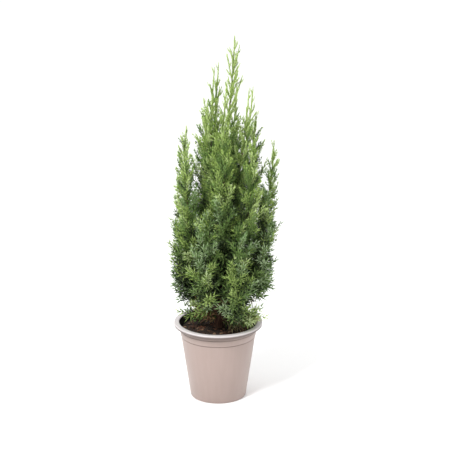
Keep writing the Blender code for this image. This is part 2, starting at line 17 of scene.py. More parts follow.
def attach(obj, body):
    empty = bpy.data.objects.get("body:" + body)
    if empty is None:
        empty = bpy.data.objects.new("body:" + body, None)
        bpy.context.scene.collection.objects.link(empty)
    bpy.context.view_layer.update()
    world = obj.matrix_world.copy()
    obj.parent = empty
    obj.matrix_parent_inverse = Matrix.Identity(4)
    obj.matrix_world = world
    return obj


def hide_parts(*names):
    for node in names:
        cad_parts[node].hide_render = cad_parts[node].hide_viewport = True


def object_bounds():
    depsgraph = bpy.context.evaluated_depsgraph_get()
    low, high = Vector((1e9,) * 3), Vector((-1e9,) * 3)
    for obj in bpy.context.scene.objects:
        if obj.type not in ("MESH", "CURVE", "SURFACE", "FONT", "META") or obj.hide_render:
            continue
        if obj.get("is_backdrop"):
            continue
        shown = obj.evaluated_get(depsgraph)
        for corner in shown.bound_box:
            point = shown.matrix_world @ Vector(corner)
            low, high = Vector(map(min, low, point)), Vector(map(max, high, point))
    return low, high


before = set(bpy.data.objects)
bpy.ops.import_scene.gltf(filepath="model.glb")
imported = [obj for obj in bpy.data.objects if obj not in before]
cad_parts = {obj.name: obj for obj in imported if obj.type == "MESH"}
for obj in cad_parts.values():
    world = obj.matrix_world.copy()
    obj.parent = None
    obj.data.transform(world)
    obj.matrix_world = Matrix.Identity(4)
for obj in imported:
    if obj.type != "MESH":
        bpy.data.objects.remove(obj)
scene = bpy.context.scene
cad_box = [list(corner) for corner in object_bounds()]
print("CAD box in mm:", [[round(1000 * v, 1) for v in corner] for corner in cad_box])

# %% [markdown]
# ## Sizes
# A pot of this kind is sold by the width of its rim, and everything else on the plant was measured
# against that rim. The growth rule needs the trunk's axis, the tiers of boughs and how the sprays
# change from the foot of a plume to its tip. A plume is one upright mass of foliage on its own
# bough. All sizes are in metres, and a pair runs from coarse to fine or from foot to tip.

# %% Sizes of the pot and the mix
RIM_RADIUS = 0.065
POT_HEIGHT = 0.115
WALL_TOP_RADIUS = 0.0575
WALL_TAPER = 0.145
WALL = 0.0012
LIP_DEPTH = 0.005
LIP_ROUND = 0.0016
STEP_DROPS = (0.0205, 0.0105)
STEP_OUT = 0.0008
STEP_SLOPE = 0.0006
FOOT_EDGE = 0.0015
FOOT_RADIUS = 0.034
CENTRE_RADIUS = 0.016
CHANNEL_RISE = 0.0025
DRAIN_HOLES = 8
DRAIN_CIRCLE = 0.025
DRAIN_RADIUS = 0.0035
CLEARANCE = 0.0003
MIX_DROP = 0.0125
MIX_DOME = 0.0025
MIX_LUMP = 0.0011
GROUND = POT_HEIGHT - MIX_DROP + MIX_DOME


def mix(pair, share):
    """The value that lies this share of the way from the pair's first to its second."""
    return pair[0] + (pair[1] - pair[0]) * share


def wall_radius(height):
    """The radius of the pot's outer wall at a height above its underside, under both steps."""
    return WALL_TOP_RADIUS - WALL_TAPER * (POT_HEIGHT - height)


print("ground level over the underside:", round(1000 * GROUND, 1), "mm")

# %% Sizes of the trunk and the boughs
CROWN_HEIGHT = 0.430
TRUNK_TOP = 0.292
TRUNK_RADIUS = 0.0052
TRUNK_TIP_RADIUS = 0.0014
TRUNK_POWER = 0.85
FLARE = 0.0030
FLARE_HEIGHT = 0.006
LEAN = 0.050
SWAY = 0.0022
SWAY_PACE = 19.0
SWAY_ACROSS = 0.35
TIERS = (
    ("skirt", 4, -36.0, (0.010, 0.022), (0.062, 0.048), (0.034, 0.060)),
    ("low", 8, 67.5, (0.014, 0.046), (0.058, 0.060), (0.158, 0.222)),
    ("mid", 8, -7.5, (0.044, 0.105), (0.064, 0.050), (0.274, 0.328)),
    ("upper", 6, 81.0, (0.120, 0.200), (0.038, 0.026), (0.346, 0.392)),
)
TIER_STRIDE = 5
AZIMUTH_JITTER = 7.0
REACH_JITTER = (0.94, 1.06)
TIP_JITTER = 0.006
OUT_POWER = {"skirt": 1.2, "low": 3.2, "mid": 2.3, "upper": 2.2, "leader": 1.0}
LATE_RISE = {"skirt": 0.3, "low": 0.8, "mid": 0.5, "upper": 0.5, "leader": 0.0}
BOUGH_RADII = (0.0023, 0.0012)
BOUGH_SCALE = {"skirt": 0.8, "low": 1.0, "mid": 1.0, "upper": 0.8}
BOUGH_SHARE = 0.21
AXIS_STEP = 0.002
LINE_POINTS = 13
LIMB_CLEARANCE = 0.0006
SEED = 11

# %% Sizes of the stems and the shoots
STEM_RADII = (0.0013, 0.0009)
STEM_ROW = 0.0152
STEM_FOOT = 0.02
STEM_END = 0.96
STEM_TIP = 0.99
HEART = {"skirt": 0.0024, "low": 0.0058, "mid": 0.0055, "upper": 0.0038, "leader": 0.0022}
FINENESS = {
    "skirt": (0.0, 0.2),
    "low": (0.0, 0.45),
    "mid": (0.1, 0.75),
    "upper": (0.5, 1.0),
    "leader": (0.8, 1.0),
}
SHOOTS = {"skirt": 5, "low": 9, "mid": 9, "upper": 7, "leader": 7}
SHOOT_SPAN = (0.05, 0.93)
SHOOT_LENGTH = (0.038, 0.024)
SHOOT_ANGLE = (52.0, 26.0)
SHOOT_ANGLE_SPREAD = (0.9, 1.1)
SHOOT_RISE = 0.22
TIP_LOSS = 0.55
FORK_EVERY = 3
FORK_SPAN = {"mid": (0.25, 0.80), "upper": (0.20, 0.80), "leader": (0.10, 0.75)}
FORK_STRETCH = 1.7
FORK_CLOSING = 0.66
GOLDEN_ANGLE = 137.508
OUTWARD_BIAS = 0.45
SINK = 0.0034
CORE_RADIUS = (0.0028, 0.0014)
CORE_TAPER = 0.45
WHORLS = 2
WHORL_START = 0.55
WHORL_END = 0.85
NEEDLE_LENGTH = (0.0165, 0.0085)
NEEDLE_ANGLE = (46.0, 26.0)
NEEDLE_PARTS = (0.25, 0.5, 0.75)
ATTEMPTS = 30
FIRST_LENGTH = 1.05
LENGTH_LOSS = 0.4
ANGLE_LOSS = 0.45
SEAM = 0.0005
WALL_MARGIN = 0.004
MIX_MARGIN = 0.0012
RIM_MARGIN = 0.0008

# %% [markdown]
# ## Pieces and finishes
# Every new piece rides on the plant's one body, and the CAD solids it stands for are hidden. The effects
# that several finishes share are built once, as node groups with named inputs, and each material
# sets its own values on them.


# %% Helpers for pieces
def declare(piece, nodes):
    """A new piece rides on the one body and stands for the named CAD nodes."""
    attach(piece, "root")
    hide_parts(*nodes)
    print(piece.name, len(piece.data.polygons), "faces")
    return piece


def link_piece(name, mesh, materials, nodes):
    piece = bpy.data.objects.new(name, mesh)
    scene.collection.objects.link(piece)
    for finish in materials:
        mesh.materials.append(finish)
    return declare(piece, nodes)


def plain_material(name, colour, roughness, gloss=0.5):
    made = bpy.data.materials.new(name)
    made.use_nodes = True
    shader = made.node_tree.nodes["Principled BSDF"]
    shader.inputs["Base Color"].default_value = (*colour, 1.0)
    shader.inputs["Roughness"].default_value = roughness
    shader.inputs["Specular IOR Level"].default_value = gloss
    return made


# %% A mottled colour
def group_socket(group, name, kind, way, value=None):
    socket = group.interface.new_socket(name=name, in_out=way, socket_type=kind)
    if value is not None:
        socket.default_value = value


def make_mottle():
    """Mixes a dark and a light colour by noise, whose spots the stretch input makes long or flat."""
    group = bpy.data.node_groups.new("mottle", "ShaderNodeTree")
    group_socket(group, "Dark", "NodeSocketColor", "INPUT", (0.1, 0.1, 0.1, 1.0))
    group_socket(group, "Light", "NodeSocketColor", "INPUT", (0.5, 0.5, 0.5, 1.0))
    group_socket(group, "Scale", "NodeSocketFloat", "INPUT", 200.0)
    group_socket(group, "Stretch", "NodeSocketVector", "INPUT", (1.0, 1.0, 1.0))
    group_socket(group, "Contrast", "NodeSocketFloat", "INPUT", 0.18)
    group_socket(group, "Color", "NodeSocketColor", "OUTPUT")
    group_socket(group, "Height", "NodeSocketFloat", "OUTPUT")
    nodes, links = group.nodes, group.links
    entry, leave = nodes.new("NodeGroupInput"), nodes.new("NodeGroupOutput")
    place = nodes.new("ShaderNodeTexCoord")
    stretched = nodes.new("ShaderNodeVectorMath")
    stretched.operation = "MULTIPLY"
    cloud = nodes.new("ShaderNodeTexNoise")
    cloud.inputs["Detail"].default_value = 5.0
    cloud.inputs["Roughness"].default_value = 0.62
    low, high = nodes.new("ShaderNodeMath"), nodes.new("ShaderNodeMath")
    low.operation, high.operation = "SUBTRACT", "ADD"
    low.inputs[0].default_value = high.inputs[0].default_value = 0.5
    spread = nodes.new("ShaderNodeMapRange")
    blend = nodes.new("ShaderNodeMix")
    blend.data_type = "RGBA"
    links.new(place.outputs["Object"], stretched.inputs[0])
    links.new(entry.outputs["Stretch"], stretched.inputs[1])
    links.new(stretched.outputs["Vector"], cloud.inputs["Vector"])
    links.new(entry.outputs["Scale"], cloud.inputs["Scale"])
    links.new(entry.outputs["Contrast"], low.inputs[1])
    links.new(entry.outputs["Contrast"], high.inputs[1])
    links.new(cloud.outputs["Fac"], spread.inputs["Value"])
    links.new(low.outputs["Value"], spread.inputs["From Min"])
    links.new(high.outputs["Value"], spread.inputs["From Max"])
    links.new(spread.outputs["Result"], blend.inputs["Factor"])
    links.new(entry.outputs["Dark"], blend.inputs["A"])
    links.new(entry.outputs["Light"], blend.inputs["B"])
    links.new(blend.outputs["Result"], leave.inputs["Color"])
    links.new(spread.outputs["Result"], leave.inputs["Height"])
    return group


mottle = make_mottle()


def mottled_material(name, dark, light, scale, stretch, roughness, bump, contrast=0.18):
    """A material whose colour and bump come from the mottle group."""
    made = plain_material(name, light, roughness)
    nodes, links = made.node_tree.nodes, made.node_tree.links
    shader = nodes["Principled BSDF"]
    spots = nodes.new("ShaderNodeGroup")
    spots.name = "spots"
    spots.node_tree = mottle
    spots.inputs["Dark"].default_value = (*dark, 1.0)
    spots.inputs["Light"].default_value = (*light, 1.0)
    spots.inputs["Scale"].default_value = scale
    spots.inputs["Stretch"].default_value = stretch
    spots.inputs["Contrast"].default_value = contrast
    relief = nodes.new("ShaderNodeBump")
    relief.inputs["Distance"].default_value = bump
    relief.inputs["Strength"].default_value = 0.8
    links.new(spots.outputs["Color"], shader.inputs["Base Color"])
    links.new(spots.outputs["Height"], relief.inputs["Height"])
    links.new(relief.outputs["Normal"], shader.inputs["Normal"])
    return made


# %% A moulded plastic face
def make_moulded():
    """Moulded plastic: faint streaks, patchy gloss, fine grain, a painted highlight on the lip's top and painted
    shade under the lip.
    """
    group = bpy.data.node_groups.new("moulded", "ShaderNodeTree")
    group_socket(group, "Color", "NodeSocketColor", "INPUT", (0.4, 0.4, 0.4, 1.0))
    group_socket(group, "Streak", "NodeSocketColor", "INPUT", (0.3, 0.3, 0.3, 1.0))
    group_socket(group, "Roughness", "NodeSocketFloat", "INPUT", 0.4)
    group_socket(group, "Patchiness", "NodeSocketFloat", "INPUT", 0.12)
    # The pale colour towards the lip's top is a painted highlight, and the darkening under the lip is painted shade.
    group_socket(group, "Worn", "NodeSocketColor", "INPUT", (0.5, 0.5, 0.5, 1.0))
    group_socket(group, "Worn above", "NodeSocketFloat", "INPUT", POT_HEIGHT - 0.0030)
    group_socket(group, "Worn fully at", "NodeSocketFloat", "INPUT", POT_HEIGHT - 0.0012)
    group_socket(group, "Grime", "NodeSocketFloat", "INPUT", 0.70)
    group_socket(group, "Grime above", "NodeSocketFloat", "INPUT", POT_HEIGHT - 0.0140)
    group_socket(group, "Grime fully at", "NodeSocketFloat", "INPUT", POT_HEIGHT - LIP_DEPTH)
    group_socket(group, "Color", "NodeSocketColor", "OUTPUT")
    group_socket(group, "Roughness", "NodeSocketFloat", "OUTPUT")
    group_socket(group, "Height", "NodeSocketFloat", "OUTPUT")
    nodes, links = group.nodes, group.links
    entry, leave = nodes.new("NodeGroupInput"), nodes.new("NodeGroupOutput")
    place = nodes.new("ShaderNodeTexCoord")
    downwards = nodes.new("ShaderNodeMapping")
    downwards.inputs["Scale"].default_value = (1.0, 1.0, 0.06)
    streaks, patches, grain = (nodes.new("ShaderNodeTexNoise") for _ in range(3))
    for cloud, scale, detail in ((streaks, 160.0, 3.0), (patches, 38.0, 4.0), (grain, 2600.0, 2.0)):
        cloud.inputs["Scale"].default_value = scale
        cloud.inputs["Detail"].default_value = detail
    # Streaks first, then the painted shade under the lip, then the painted highlight on the lip's top.
    blend, painted_highlight, shade_under_lip = (nodes.new("ShaderNodeMix") for _ in range(3))
    blend.data_type = painted_highlight.data_type = shade_under_lip.data_type = "RGBA"
    shade_under_lip.blend_type = "MULTIPLY"
    shade_under_lip.inputs["B"].default_value = (0.10, 0.08, 0.07, 1.0)
    gather, amount = nodes.new("ShaderNodeMapRange"), nodes.new("ShaderNodeMath")
    gather.interpolation_type = "SMOOTHSTEP"
    amount.operation = "MULTIPLY"
    # This mask raises the painted highlight towards the lip's top.
    split, highlight_mask = nodes.new("ShaderNodeSeparateXYZ"), nodes.new("ShaderNodeMapRange")
    centred, shift = nodes.new("ShaderNodeMath"), nodes.new("ShaderNodeMath")
    centred.operation = "SUBTRACT"
    centred.inputs[1].default_value = 0.5
    shift.operation = "MULTIPLY_ADD"
    links.new(place.outputs["Object"], downwards.inputs["Vector"])
    links.new(downwards.outputs["Vector"], streaks.inputs["Vector"])
    links.new(place.outputs["Object"], patches.inputs["Vector"])
    links.new(place.outputs["Object"], grain.inputs["Vector"])
    links.new(streaks.outputs["Fac"], blend.inputs["Factor"])
    links.new(entry.outputs["Color"], blend.inputs["A"])
    links.new(entry.outputs["Streak"], blend.inputs["B"])
    links.new(place.outputs["Object"], split.inputs["Vector"])
    links.new(split.outputs["Z"], highlight_mask.inputs["Value"])
    links.new(entry.outputs["Worn above"], highlight_mask.inputs["From Min"])
    links.new(entry.outputs["Worn fully at"], highlight_mask.inputs["From Max"])
    links.new(highlight_mask.outputs["Result"], painted_highlight.inputs["Factor"])
    links.new(split.outputs["Z"], gather.inputs["Value"])
    links.new(entry.outputs["Grime above"], gather.inputs["From Min"])
    links.new(entry.outputs["Grime fully at"], gather.inputs["From Max"])
    links.new(gather.outputs["Result"], amount.inputs[0])
    links.new(entry.outputs["Grime"], amount.inputs[1])
    links.new(amount.outputs["Value"], shade_under_lip.inputs["Factor"])
    links.new(blend.outputs["Result"], shade_under_lip.inputs["A"])
    links.new(shade_under_lip.outputs["Result"], painted_highlight.inputs["A"])
    links.new(entry.outputs["Worn"], painted_highlight.inputs["B"])
    links.new(painted_highlight.outputs["Result"], leave.inputs["Color"])
    links.new(patches.outputs["Fac"], centred.inputs[0])
    links.new(centred.outputs["Value"], shift.inputs[0])
    links.new(entry.outputs["Patchiness"], shift.inputs[1])
    links.new(entry.outputs["Roughness"], shift.inputs[2])
    links.new(shift.outputs["Value"], leave.inputs["Roughness"])
    links.new(grain.outputs["Fac"], leave.inputs["Height"])
    return group


moulded = make_moulded()


# The third colour is the painted highlight on the lip's top.
def plastic(name, colour, streak, painted_highlight, roughness, grain_depth):
    made = plain_material(name, colour, roughness)
    nodes, links = made.node_tree.nodes, made.node_tree.links
    shader = nodes["Principled BSDF"]
    face = nodes.new("ShaderNodeGroup")
    face.node_tree = moulded
    face.inputs["Color"].default_value = (*colour, 1.0)
    face.inputs["Streak"].default_value = (*streak, 1.0)
    face.inputs["Worn"].default_value = (*painted_highlight, 1.0)
    face.inputs["Roughness"].default_value = roughness
    relief = nodes.new("ShaderNodeBump")
    relief.inputs["Distance"].default_value = grain_depth
    relief.inputs["Strength"].default_value = 0.6
    links.new(face.outputs["Color"], shader.inputs["Base Color"])
    links.new(face.outputs["Roughness"], shader.inputs["Roughness"])
    links.new(face.outputs["Height"], relief.inputs["Height"])
    links.new(relief.outputs["Normal"], shader.inputs["Normal"])
    return made


# The pale third colour paints a highlight on the lip's top.
taupe_plastic = plastic(
    "taupe_plastic", (0.385, 0.295, 0.265), (0.338, 0.258, 0.228), (0.60, 0.56, 0.56), 0.36, 0.00005
)
# A darker plastic only paints the shade in the grooves under the steps and the lip.
groove_plastic = plastic(
    "groove_plastic", (0.29, 0.225, 0.200), (0.25, 0.193, 0.170), (0.29, 0.225, 0.200), 0.50, 0.00005
)
black_plastic = plastic(
    "black_plastic", (0.012, 0.012, 0.013), (0.020, 0.019, 0.019), (0.03, 0.03, 0.03), 0.42, 0.00005
)

# %% [markdown]
# ## The pot
# A nursery pot is moulded in two skins, taupe outside and black inside, with a rolled lip and two
# small steps under it that stack in the next pot. It could be lathed from a drawn curve. Here it
# is raised as by hand: one ring of edges is extruded and scaled again and again, from the middle of
# the underside out, up the wall, over the lip and down inside.

# %% Raising a wall ring by ring
POT_SIDES = 96
LIP_TURN = 6


def first_ring(name, sides, radius, height):
    bpy.ops.object.select_all(action="DESELECT")
    bpy.ops.mesh.primitive_circle_add(vertices=sides, radius=radius, location=(0.0, 0.0, height))
    ring = bpy.context.active_object
    ring.name = name
    ring.data.name = name
    bpy.ops.object.transform_apply(location=True)
    bpy.ops.object.mode_set(mode="EDIT")
    bpy.ops.mesh.select_all(action="SELECT")
    return ring


def extrude_rings(profile):
    """Extrudes the selected ring, which is the profile's first point, through all the others."""
    for (radius, height), (wider, higher) in zip(profile, profile[1:]):
        lift = {"value": (0.0, 0.0, higher - height)}
        bpy.ops.mesh.extrude_region_move(TRANSFORM_OT_translate=lift)
        scale = wider / radius
        bpy.ops.transform.resize(value=(scale, scale, 1.0), center_override=(0.0, 0.0, higher))


def raised(name, profile, sides):
    """A closed body of rings through the profile's (radius, height) points."""
    body = first_ring(name, sides, *profile[0])
    extrude_rings(profile)
    bpy.ops.mesh.select_all(action="SELECT")
    bpy.ops.mesh.remove_doubles(threshold=0.00001)
    bpy.ops.mesh.fill_holes(sides=sides)
    bpy.ops.mesh.normals_make_consistent(inside=False)
    bpy.ops.object.mode_set(mode="OBJECT")
    return body


def quarter_round(radius, height, first_turn):
    """Points of a quarter circle, counterclockwise, round a centre at this radius and height."""
    turns = [math.radians(first_turn + 90.0 * i / LIP_TURN) for i in range(LIP_TURN + 1)]
    return [(radius + LIP_ROUND * math.cos(t), height + LIP_ROUND * math.sin(t)) for t in turns]


# %% The pot's outline
GROOVE = 0.0006
GROOVE_HEIGHT = 0.0013
lip_under = POT_HEIGHT - LIP_DEPTH
neck = wall_radius(lip_under) + len(STEP_DROPS) * STEP_OUT
outline = [
    (CENTRE_RADIUS, 0.0),
    (CENTRE_RADIUS + CHANNEL_RISE, CHANNEL_RISE),
    (FOOT_RADIUS - CHANNEL_RISE, CHANNEL_RISE),
    (FOOT_RADIUS, 0.0),
    (wall_radius(0.0) - FOOT_EDGE, 0.0),
    (wall_radius(0.0) - 0.3 * FOOT_EDGE, 0.3 * FOOT_EDGE),
    (wall_radius(FOOT_EDGE), FOOT_EDGE),
]
for count, drop in enumerate(STEP_DROPS):
    height = POT_HEIGHT - drop
    wall = wall_radius(height) + count * STEP_OUT
    outline.append((wall, height - GROOVE_HEIGHT))
    outline.append((wall - GROOVE, height - GROOVE_HEIGHT / 4))
    outline.append((wall + STEP_OUT, height + STEP_SLOPE / 2))
outline += [(neck, lip_under - GROOVE_HEIGHT), (neck - GROOVE, lip_under - GROOVE_HEIGHT / 4)]
outline += [(neck, lip_under), (RIM_RADIUS - STEP_OUT, lip_under), (RIM_RADIUS, lip_under + STEP_OUT)]
outline += quarter_round(RIM_RADIUS - LIP_ROUND, POT_HEIGHT - LIP_ROUND, 0.0)
outline += quarter_round(neck - WALL + LIP_ROUND, POT_HEIGHT - LIP_ROUND, 90.0)
floor_top = CHANNEL_RISE + WALL
outline += [
    (neck - WALL, lip_under),
    (wall_radius(POT_HEIGHT - STEP_DROPS[0]) - WALL, POT_HEIGHT - STEP_DROPS[0]),
    (wall_radius(floor_top) - WALL, floor_top),
    (CENTRE_RADIUS, floor_top),
]
pot = raised("nursery_pot", outline, POT_SIDES)
print(len(outline), "rings,", len(pot.data.vertices), "points")

# %% Drain holes in the raised channel
pegs = []
for hole in range(DRAIN_HOLES):
    turn = math.tau * (hole + 0.5) / DRAIN_HOLES
    middle = (DRAIN_CIRCLE * math.cos(turn), DRAIN_CIRCLE * math.sin(turn), CHANNEL_RISE)
    bpy.ops.mesh.primitive_cylinder_add(
        vertices=24, radius=DRAIN_RADIUS, depth=4 * CHANNEL_RISE, location=middle
    )
    pegs.append(bpy.context.active_object)
bpy.ops.object.select_all(action="DESELECT")
for peg in pegs:
    peg.select_set(True)
bpy.context.view_layer.objects.active = pegs[0]
bpy.ops.object.join()
cutter = bpy.context.active_object
drill = pot.modifiers.new("drain holes", "BOOLEAN")
drill.operation = "DIFFERENCE"
drill.solver = "EXACT"
drill.object = cutter
bpy.context.view_layer.objects.active = pot
bpy.ops.object.modifier_apply(modifier=drill.name)
bpy.data.objects.remove(cutter)
print(len(pegs), "holes,", len(pot.data.polygons), "faces")


# %% Taupe outside, black inside
def lines_the_pot(face):
    """Whether a face looks inwards or up, under the lip's round."""
    if face.center.z > POT_HEIGHT - LIP_ROUND or face.normal.z < -0.1:
        return False
    inwards = face.normal.xy.dot(face.center.xy) < 0.0
    return inwards or face.normal.z > 0.99


def in_a_groove(face):
    """Whether a face of the outside lies in the groove under a step or under the lip."""
    tops = [POT_HEIGHT - drop for drop in (*STEP_DROPS, LIP_DEPTH)]
    return any(top - GROOVE_HEIGHT < face.center.z < top + STEP_SLOPE / 2 for top in tops)


# Faces in a groove take the darker plastic, which paints the shade in them.
for finish in (taupe_plastic, black_plastic, groove_plastic):
    pot.data.materials.append(finish)
for face in pot.data.polygons:
    inside = lines_the_pot(face)
    face.material_index = 1 if inside else 2 * in_a_groove(face)
edges = pot.modifiers.new("soft edges", "BEVEL")
edges.width = 0.00025
edges.segments = 2
edges.limit_method = "ANGLE"
edges.angle_limit = math.radians(25.0)
bpy.ops.object.modifier_apply(modifier=edges.name)
bpy.ops.object.select_all(action="DESELECT")
pot.select_set(True)
bpy.ops.object.shade_smooth_by_angle(angle=math.radians(30.0))
declare(pot, ["pot"])

# %% [markdown]
# ## The potting mix
# Under the plant lies a dark brown mix of peat with crumbs and chips of bark. A flat disc with a
# bump would look painted on, so the top is raised in rings and made lumpy with two displacements,
# and loose crumbs and chips are strewn on it.

# %% A lumpy fill
MIX_SIDES = 144
MIX_TOP_RINGS = 34
mix_edge = POT_HEIGHT - MIX_DROP
mix_floor = floor_top + CLEARANCE
mix_rim = wall_radius(mix_edge) - WALL - CLEARANCE
step_height = POT_HEIGHT - STEP_DROPS[0]
fill = [
    (wall_radius(mix_floor) - WALL - CLEARANCE, mix_floor),
    (wall_radius(step_height) - WALL - CLEARANCE, step_height),
    (mix_rim, mix_edge),
]
for ring in range(1, MIX_TOP_RINGS):
    share = 1 - ring / MIX_TOP_RINGS
    fill.append((mix_rim * share, mix_edge + MIX_DOME * (1 - share**2)))
mix_body = raised("potting_mix_fill", fill, MIX_SIDES)
top = mix_body.vertex_groups.new(name="top")
for vertex in mix_body.data.vertices:
    if vertex.co.z > mix_edge - CLEARANCE and vertex.co.xy.length < mix_rim - CLEARANCE:
        top.add([vertex.index], 1.0, "REPLACE")
for title, size, depth in (("lumps", 0.0065, 0.0030), ("crumble", 0.0021, 0.0014)):
    cloud = bpy.data.textures.new(title, "CLOUDS")
    cloud.noise_scale = size
    push = mix_body.modifiers.new(title, "DISPLACE")
    push.texture = cloud
    push.texture_coords = "LOCAL"
    push.direction = "Z"
    push.strength = depth
    push.mid_level = 0.5
    push.vertex_group = "top"
    bpy.ops.object.modifier_apply(modifier=push.name)
bpy.ops.object.shade_smooth()
peat = mottled_material(
    "peat", (0.008, 0.005, 0.004), (0.042, 0.025, 0.016), 420.0, (1.0, 1.0, 1.0), 0.95, 0.0006
)
mix_body.data.materials.append(peat)
declare(mix_body, ["potting_mix"])


# %% One chip and one crumb, modelled once each
def rough_lump(name, size, seed, kind):
    """A block or a ball, squeezed to size, and roughened corner by corner."""
    bpy.ops.object.select_all(action="DESELECT")
    if kind == "chip":
        bpy.ops.mesh.primitive_cube_add(size=1.0)
    else:
        bpy.ops.mesh.primitive_ico_sphere_add(subdivisions=1, radius=0.5)
    lump = bpy.context.active_object
    lump.name = name
    bpy.ops.object.mode_set(mode="EDIT")
    bpy.ops.mesh.select_all(action="SELECT")
    if kind == "chip":
        bpy.ops.mesh.subdivide(number_cuts=1)
    bpy.ops.transform.vertex_random(offset=0.16, uniform=0.4, normal=0.0, seed=seed)
    bpy.ops.transform.resize(value=size, center_override=(0.0, 0.0, 0.0))
    bpy.ops.object.mode_set(mode="OBJECT")
    points = np.array([tuple(vertex.co) for vertex in lump.data.vertices])
    faces = [tuple(face.vertices) for face in lump.data.polygons]
    bpy.data.objects.remove(lump)
    return points, faces


def strewn(name, lumps, count, sizes, materials, inner, rng):
    """Copies of the lumps in one mesh, laid on the mix at random places and turns."""
    vertices, faces, finishes = [], [], []
    for _ in range(count):
        points, sides = lumps[rng.randrange(len(lumps))]
        distance = math.sqrt(rng.uniform(inner**2, (mix_rim - 0.004) ** 2))
        angle = rng.uniform(0.0, math.tau)
        spot = Vector((distance * math.cos(angle), distance * math.sin(angle), POT_HEIGHT))
        landing = surface.ray_cast(spot, Vector((0.0, 0.0, -1.0)))[0]
        turn = Euler((rng.gauss(0.0, 0.30), rng.gauss(0.0, 0.30), rng.uniform(0.0, math.tau)))
        placed = (points * rng.uniform(*sizes)) @ np.array(turn.to_matrix()).T + np.array(landing)
        faces += [tuple(v + len(vertices) for v in face) for face in sides]
        vertices += placed.tolist()
        finishes += [rng.randrange(len(materials))] * len(sides)
    mesh = bpy.data.meshes.new(name)
    mesh.from_pydata(vertices, [], faces)
    mesh.polygons.foreach_set("material_index", finishes)
    return link_piece(name, mesh, materials, ["potting_mix"])


rng = random.Random(SEED + 3)
surface = BVHTree.FromObject(mix_body, bpy.context.evaluated_depsgraph_get())
along_grain = (0.3, 1.0, 1.0)
bark_chip = [
    mottled_material("bark_chip_red", (0.050, 0.018, 0.009), (0.200, 0.080, 0.038), 520.0, along_grain, 0.85, 0.0003),
    mottled_material("bark_chip_dark", (0.020, 0.009, 0.005), (0.090, 0.042, 0.022), 480.0, along_grain, 0.9, 0.0003),
    mottled_material("bark_chip_pale", (0.100, 0.055, 0.030), (0.270, 0.165, 0.095), 560.0, along_grain, 0.8, 0.0003),
]
chips = [rough_lump("chip", (0.0080, 0.0040, 0.0018), seed, "chip") for seed in (1, 2, 3)]
crumbs = [rough_lump("crumb", (0.0024, 0.0020, 0.0016), seed, "crumb") for seed in (4, 5)]
strewn("bark_chips", chips, 150, (0.45, 1.15), bark_chip, 0.007, rng)
strewn("peat_crumbs", crumbs, 900, (0.4, 1.3), [bark_chip[1], peat], 0.006, rng)

# %% [markdown]
# ## The growth rule
# A columnar conifer is a set of upright plumes. Each plume's stem follows an axis that leaves the
# trunk outwards and soon turns up. It could be drawn by hand, limb by limb, but a rule with a few
# named sizes gives a whole crown that is even on all sides, and the same seeds give the same
# plumes as in the CAD solids.


# %% The trunk's axis and its girth
def trunk_point(height):
    """The trunk's axis, and the crown's, at a height above the ground: a slight lean and sway."""
    swing = SWAY * math.sin(height * SWAY_PACE)
    return Vector((LEAN * height + swing, -SWAY_ACROSS * swing, GROUND + height))


def trunk_radius(height):
    taper = mix((TRUNK_RADIUS, TRUNK_TIP_RADIUS), (height / TRUNK_TOP) ** TRUNK_POWER)
    return taper + FLARE * math.exp(-height / FLARE_HEIGHT)


print("the trunk is", round(2000 * trunk_radius(0.0), 1), "mm across at the ground")


# %% A plume's axis
class Plume:
    """One bough and the plume on it, which share an axis from the trunk to the plume's tip."""

    def __init__(self, tier, name, azimuth, start, reach, tip):
        self.tier = tier
        self.name = name
        self.azimuth = math.radians(azimuth)
        self.start = start
        self.reach = reach
        self.tip = tip
        self.foot_share = 0.0 if tier == "leader" else BOUGH_SHARE

    def point(self, share):
        """The axis: a bough leaves the trunk outwards and soon turns up, and a skirt's stays low."""
        out = 1 - (1 - share) ** OUT_POWER[self.tier]
        rise = mix((share, share**2), LATE_RISE[self.tier])
        height = self.start + (self.tip - self.start) * rise
        away = Vector((math.cos(self.azimuth), math.sin(self.azimuth), 0.0)) * self.reach * out
        return trunk_point(height) + away

    def tangent(self, share):
        step = 0.01
        return (self.point(min(share + step, 1.0)) - self.point(max(share - step, 0.0))).normalized()

    def line(self, first, last, count):
        return [self.point(mix((first, last), i / (count - 1))) for i in range(count)]


def clear_share(plume, gap):
    """The share of the axis at which it is this far outside the trunk's skin."""
    share = 0.0
    while True:
        point = plume.point(share)
        height = point.z - GROUND
        if (point - trunk_point(height)).xy.length >= trunk_radius(height) + gap:
            return share
        share += AXIS_STEP


# %% All plumes
def distances(points, line):
    """The least distance from each point to a line through the given points."""
    p = np.array(points)[:, None, :]
    a, b = np.array(line[:-1])[None], np.array(line[1:])[None]
    along = ((p - a) * (b - a)).sum(2) / ((b - a) ** 2).sum(2)
    nearest = a + np.clip(along, 0.0, 1.0)[..., None] * (b - a)
    return np.linalg.norm(p - nearest, axis=2).min(1)


def crowded(plume, other):
    """Whether two boughs would nearly touch outside the trunk."""
    own, theirs = (p.line(clear_share(p, 0.0), BOUGH_SHARE, LINE_POINTS) for p in (plume, other))
    return distances(own, theirs).min() < 2 * BOUGH_RADII[0] + LIMB_CLEARANCE


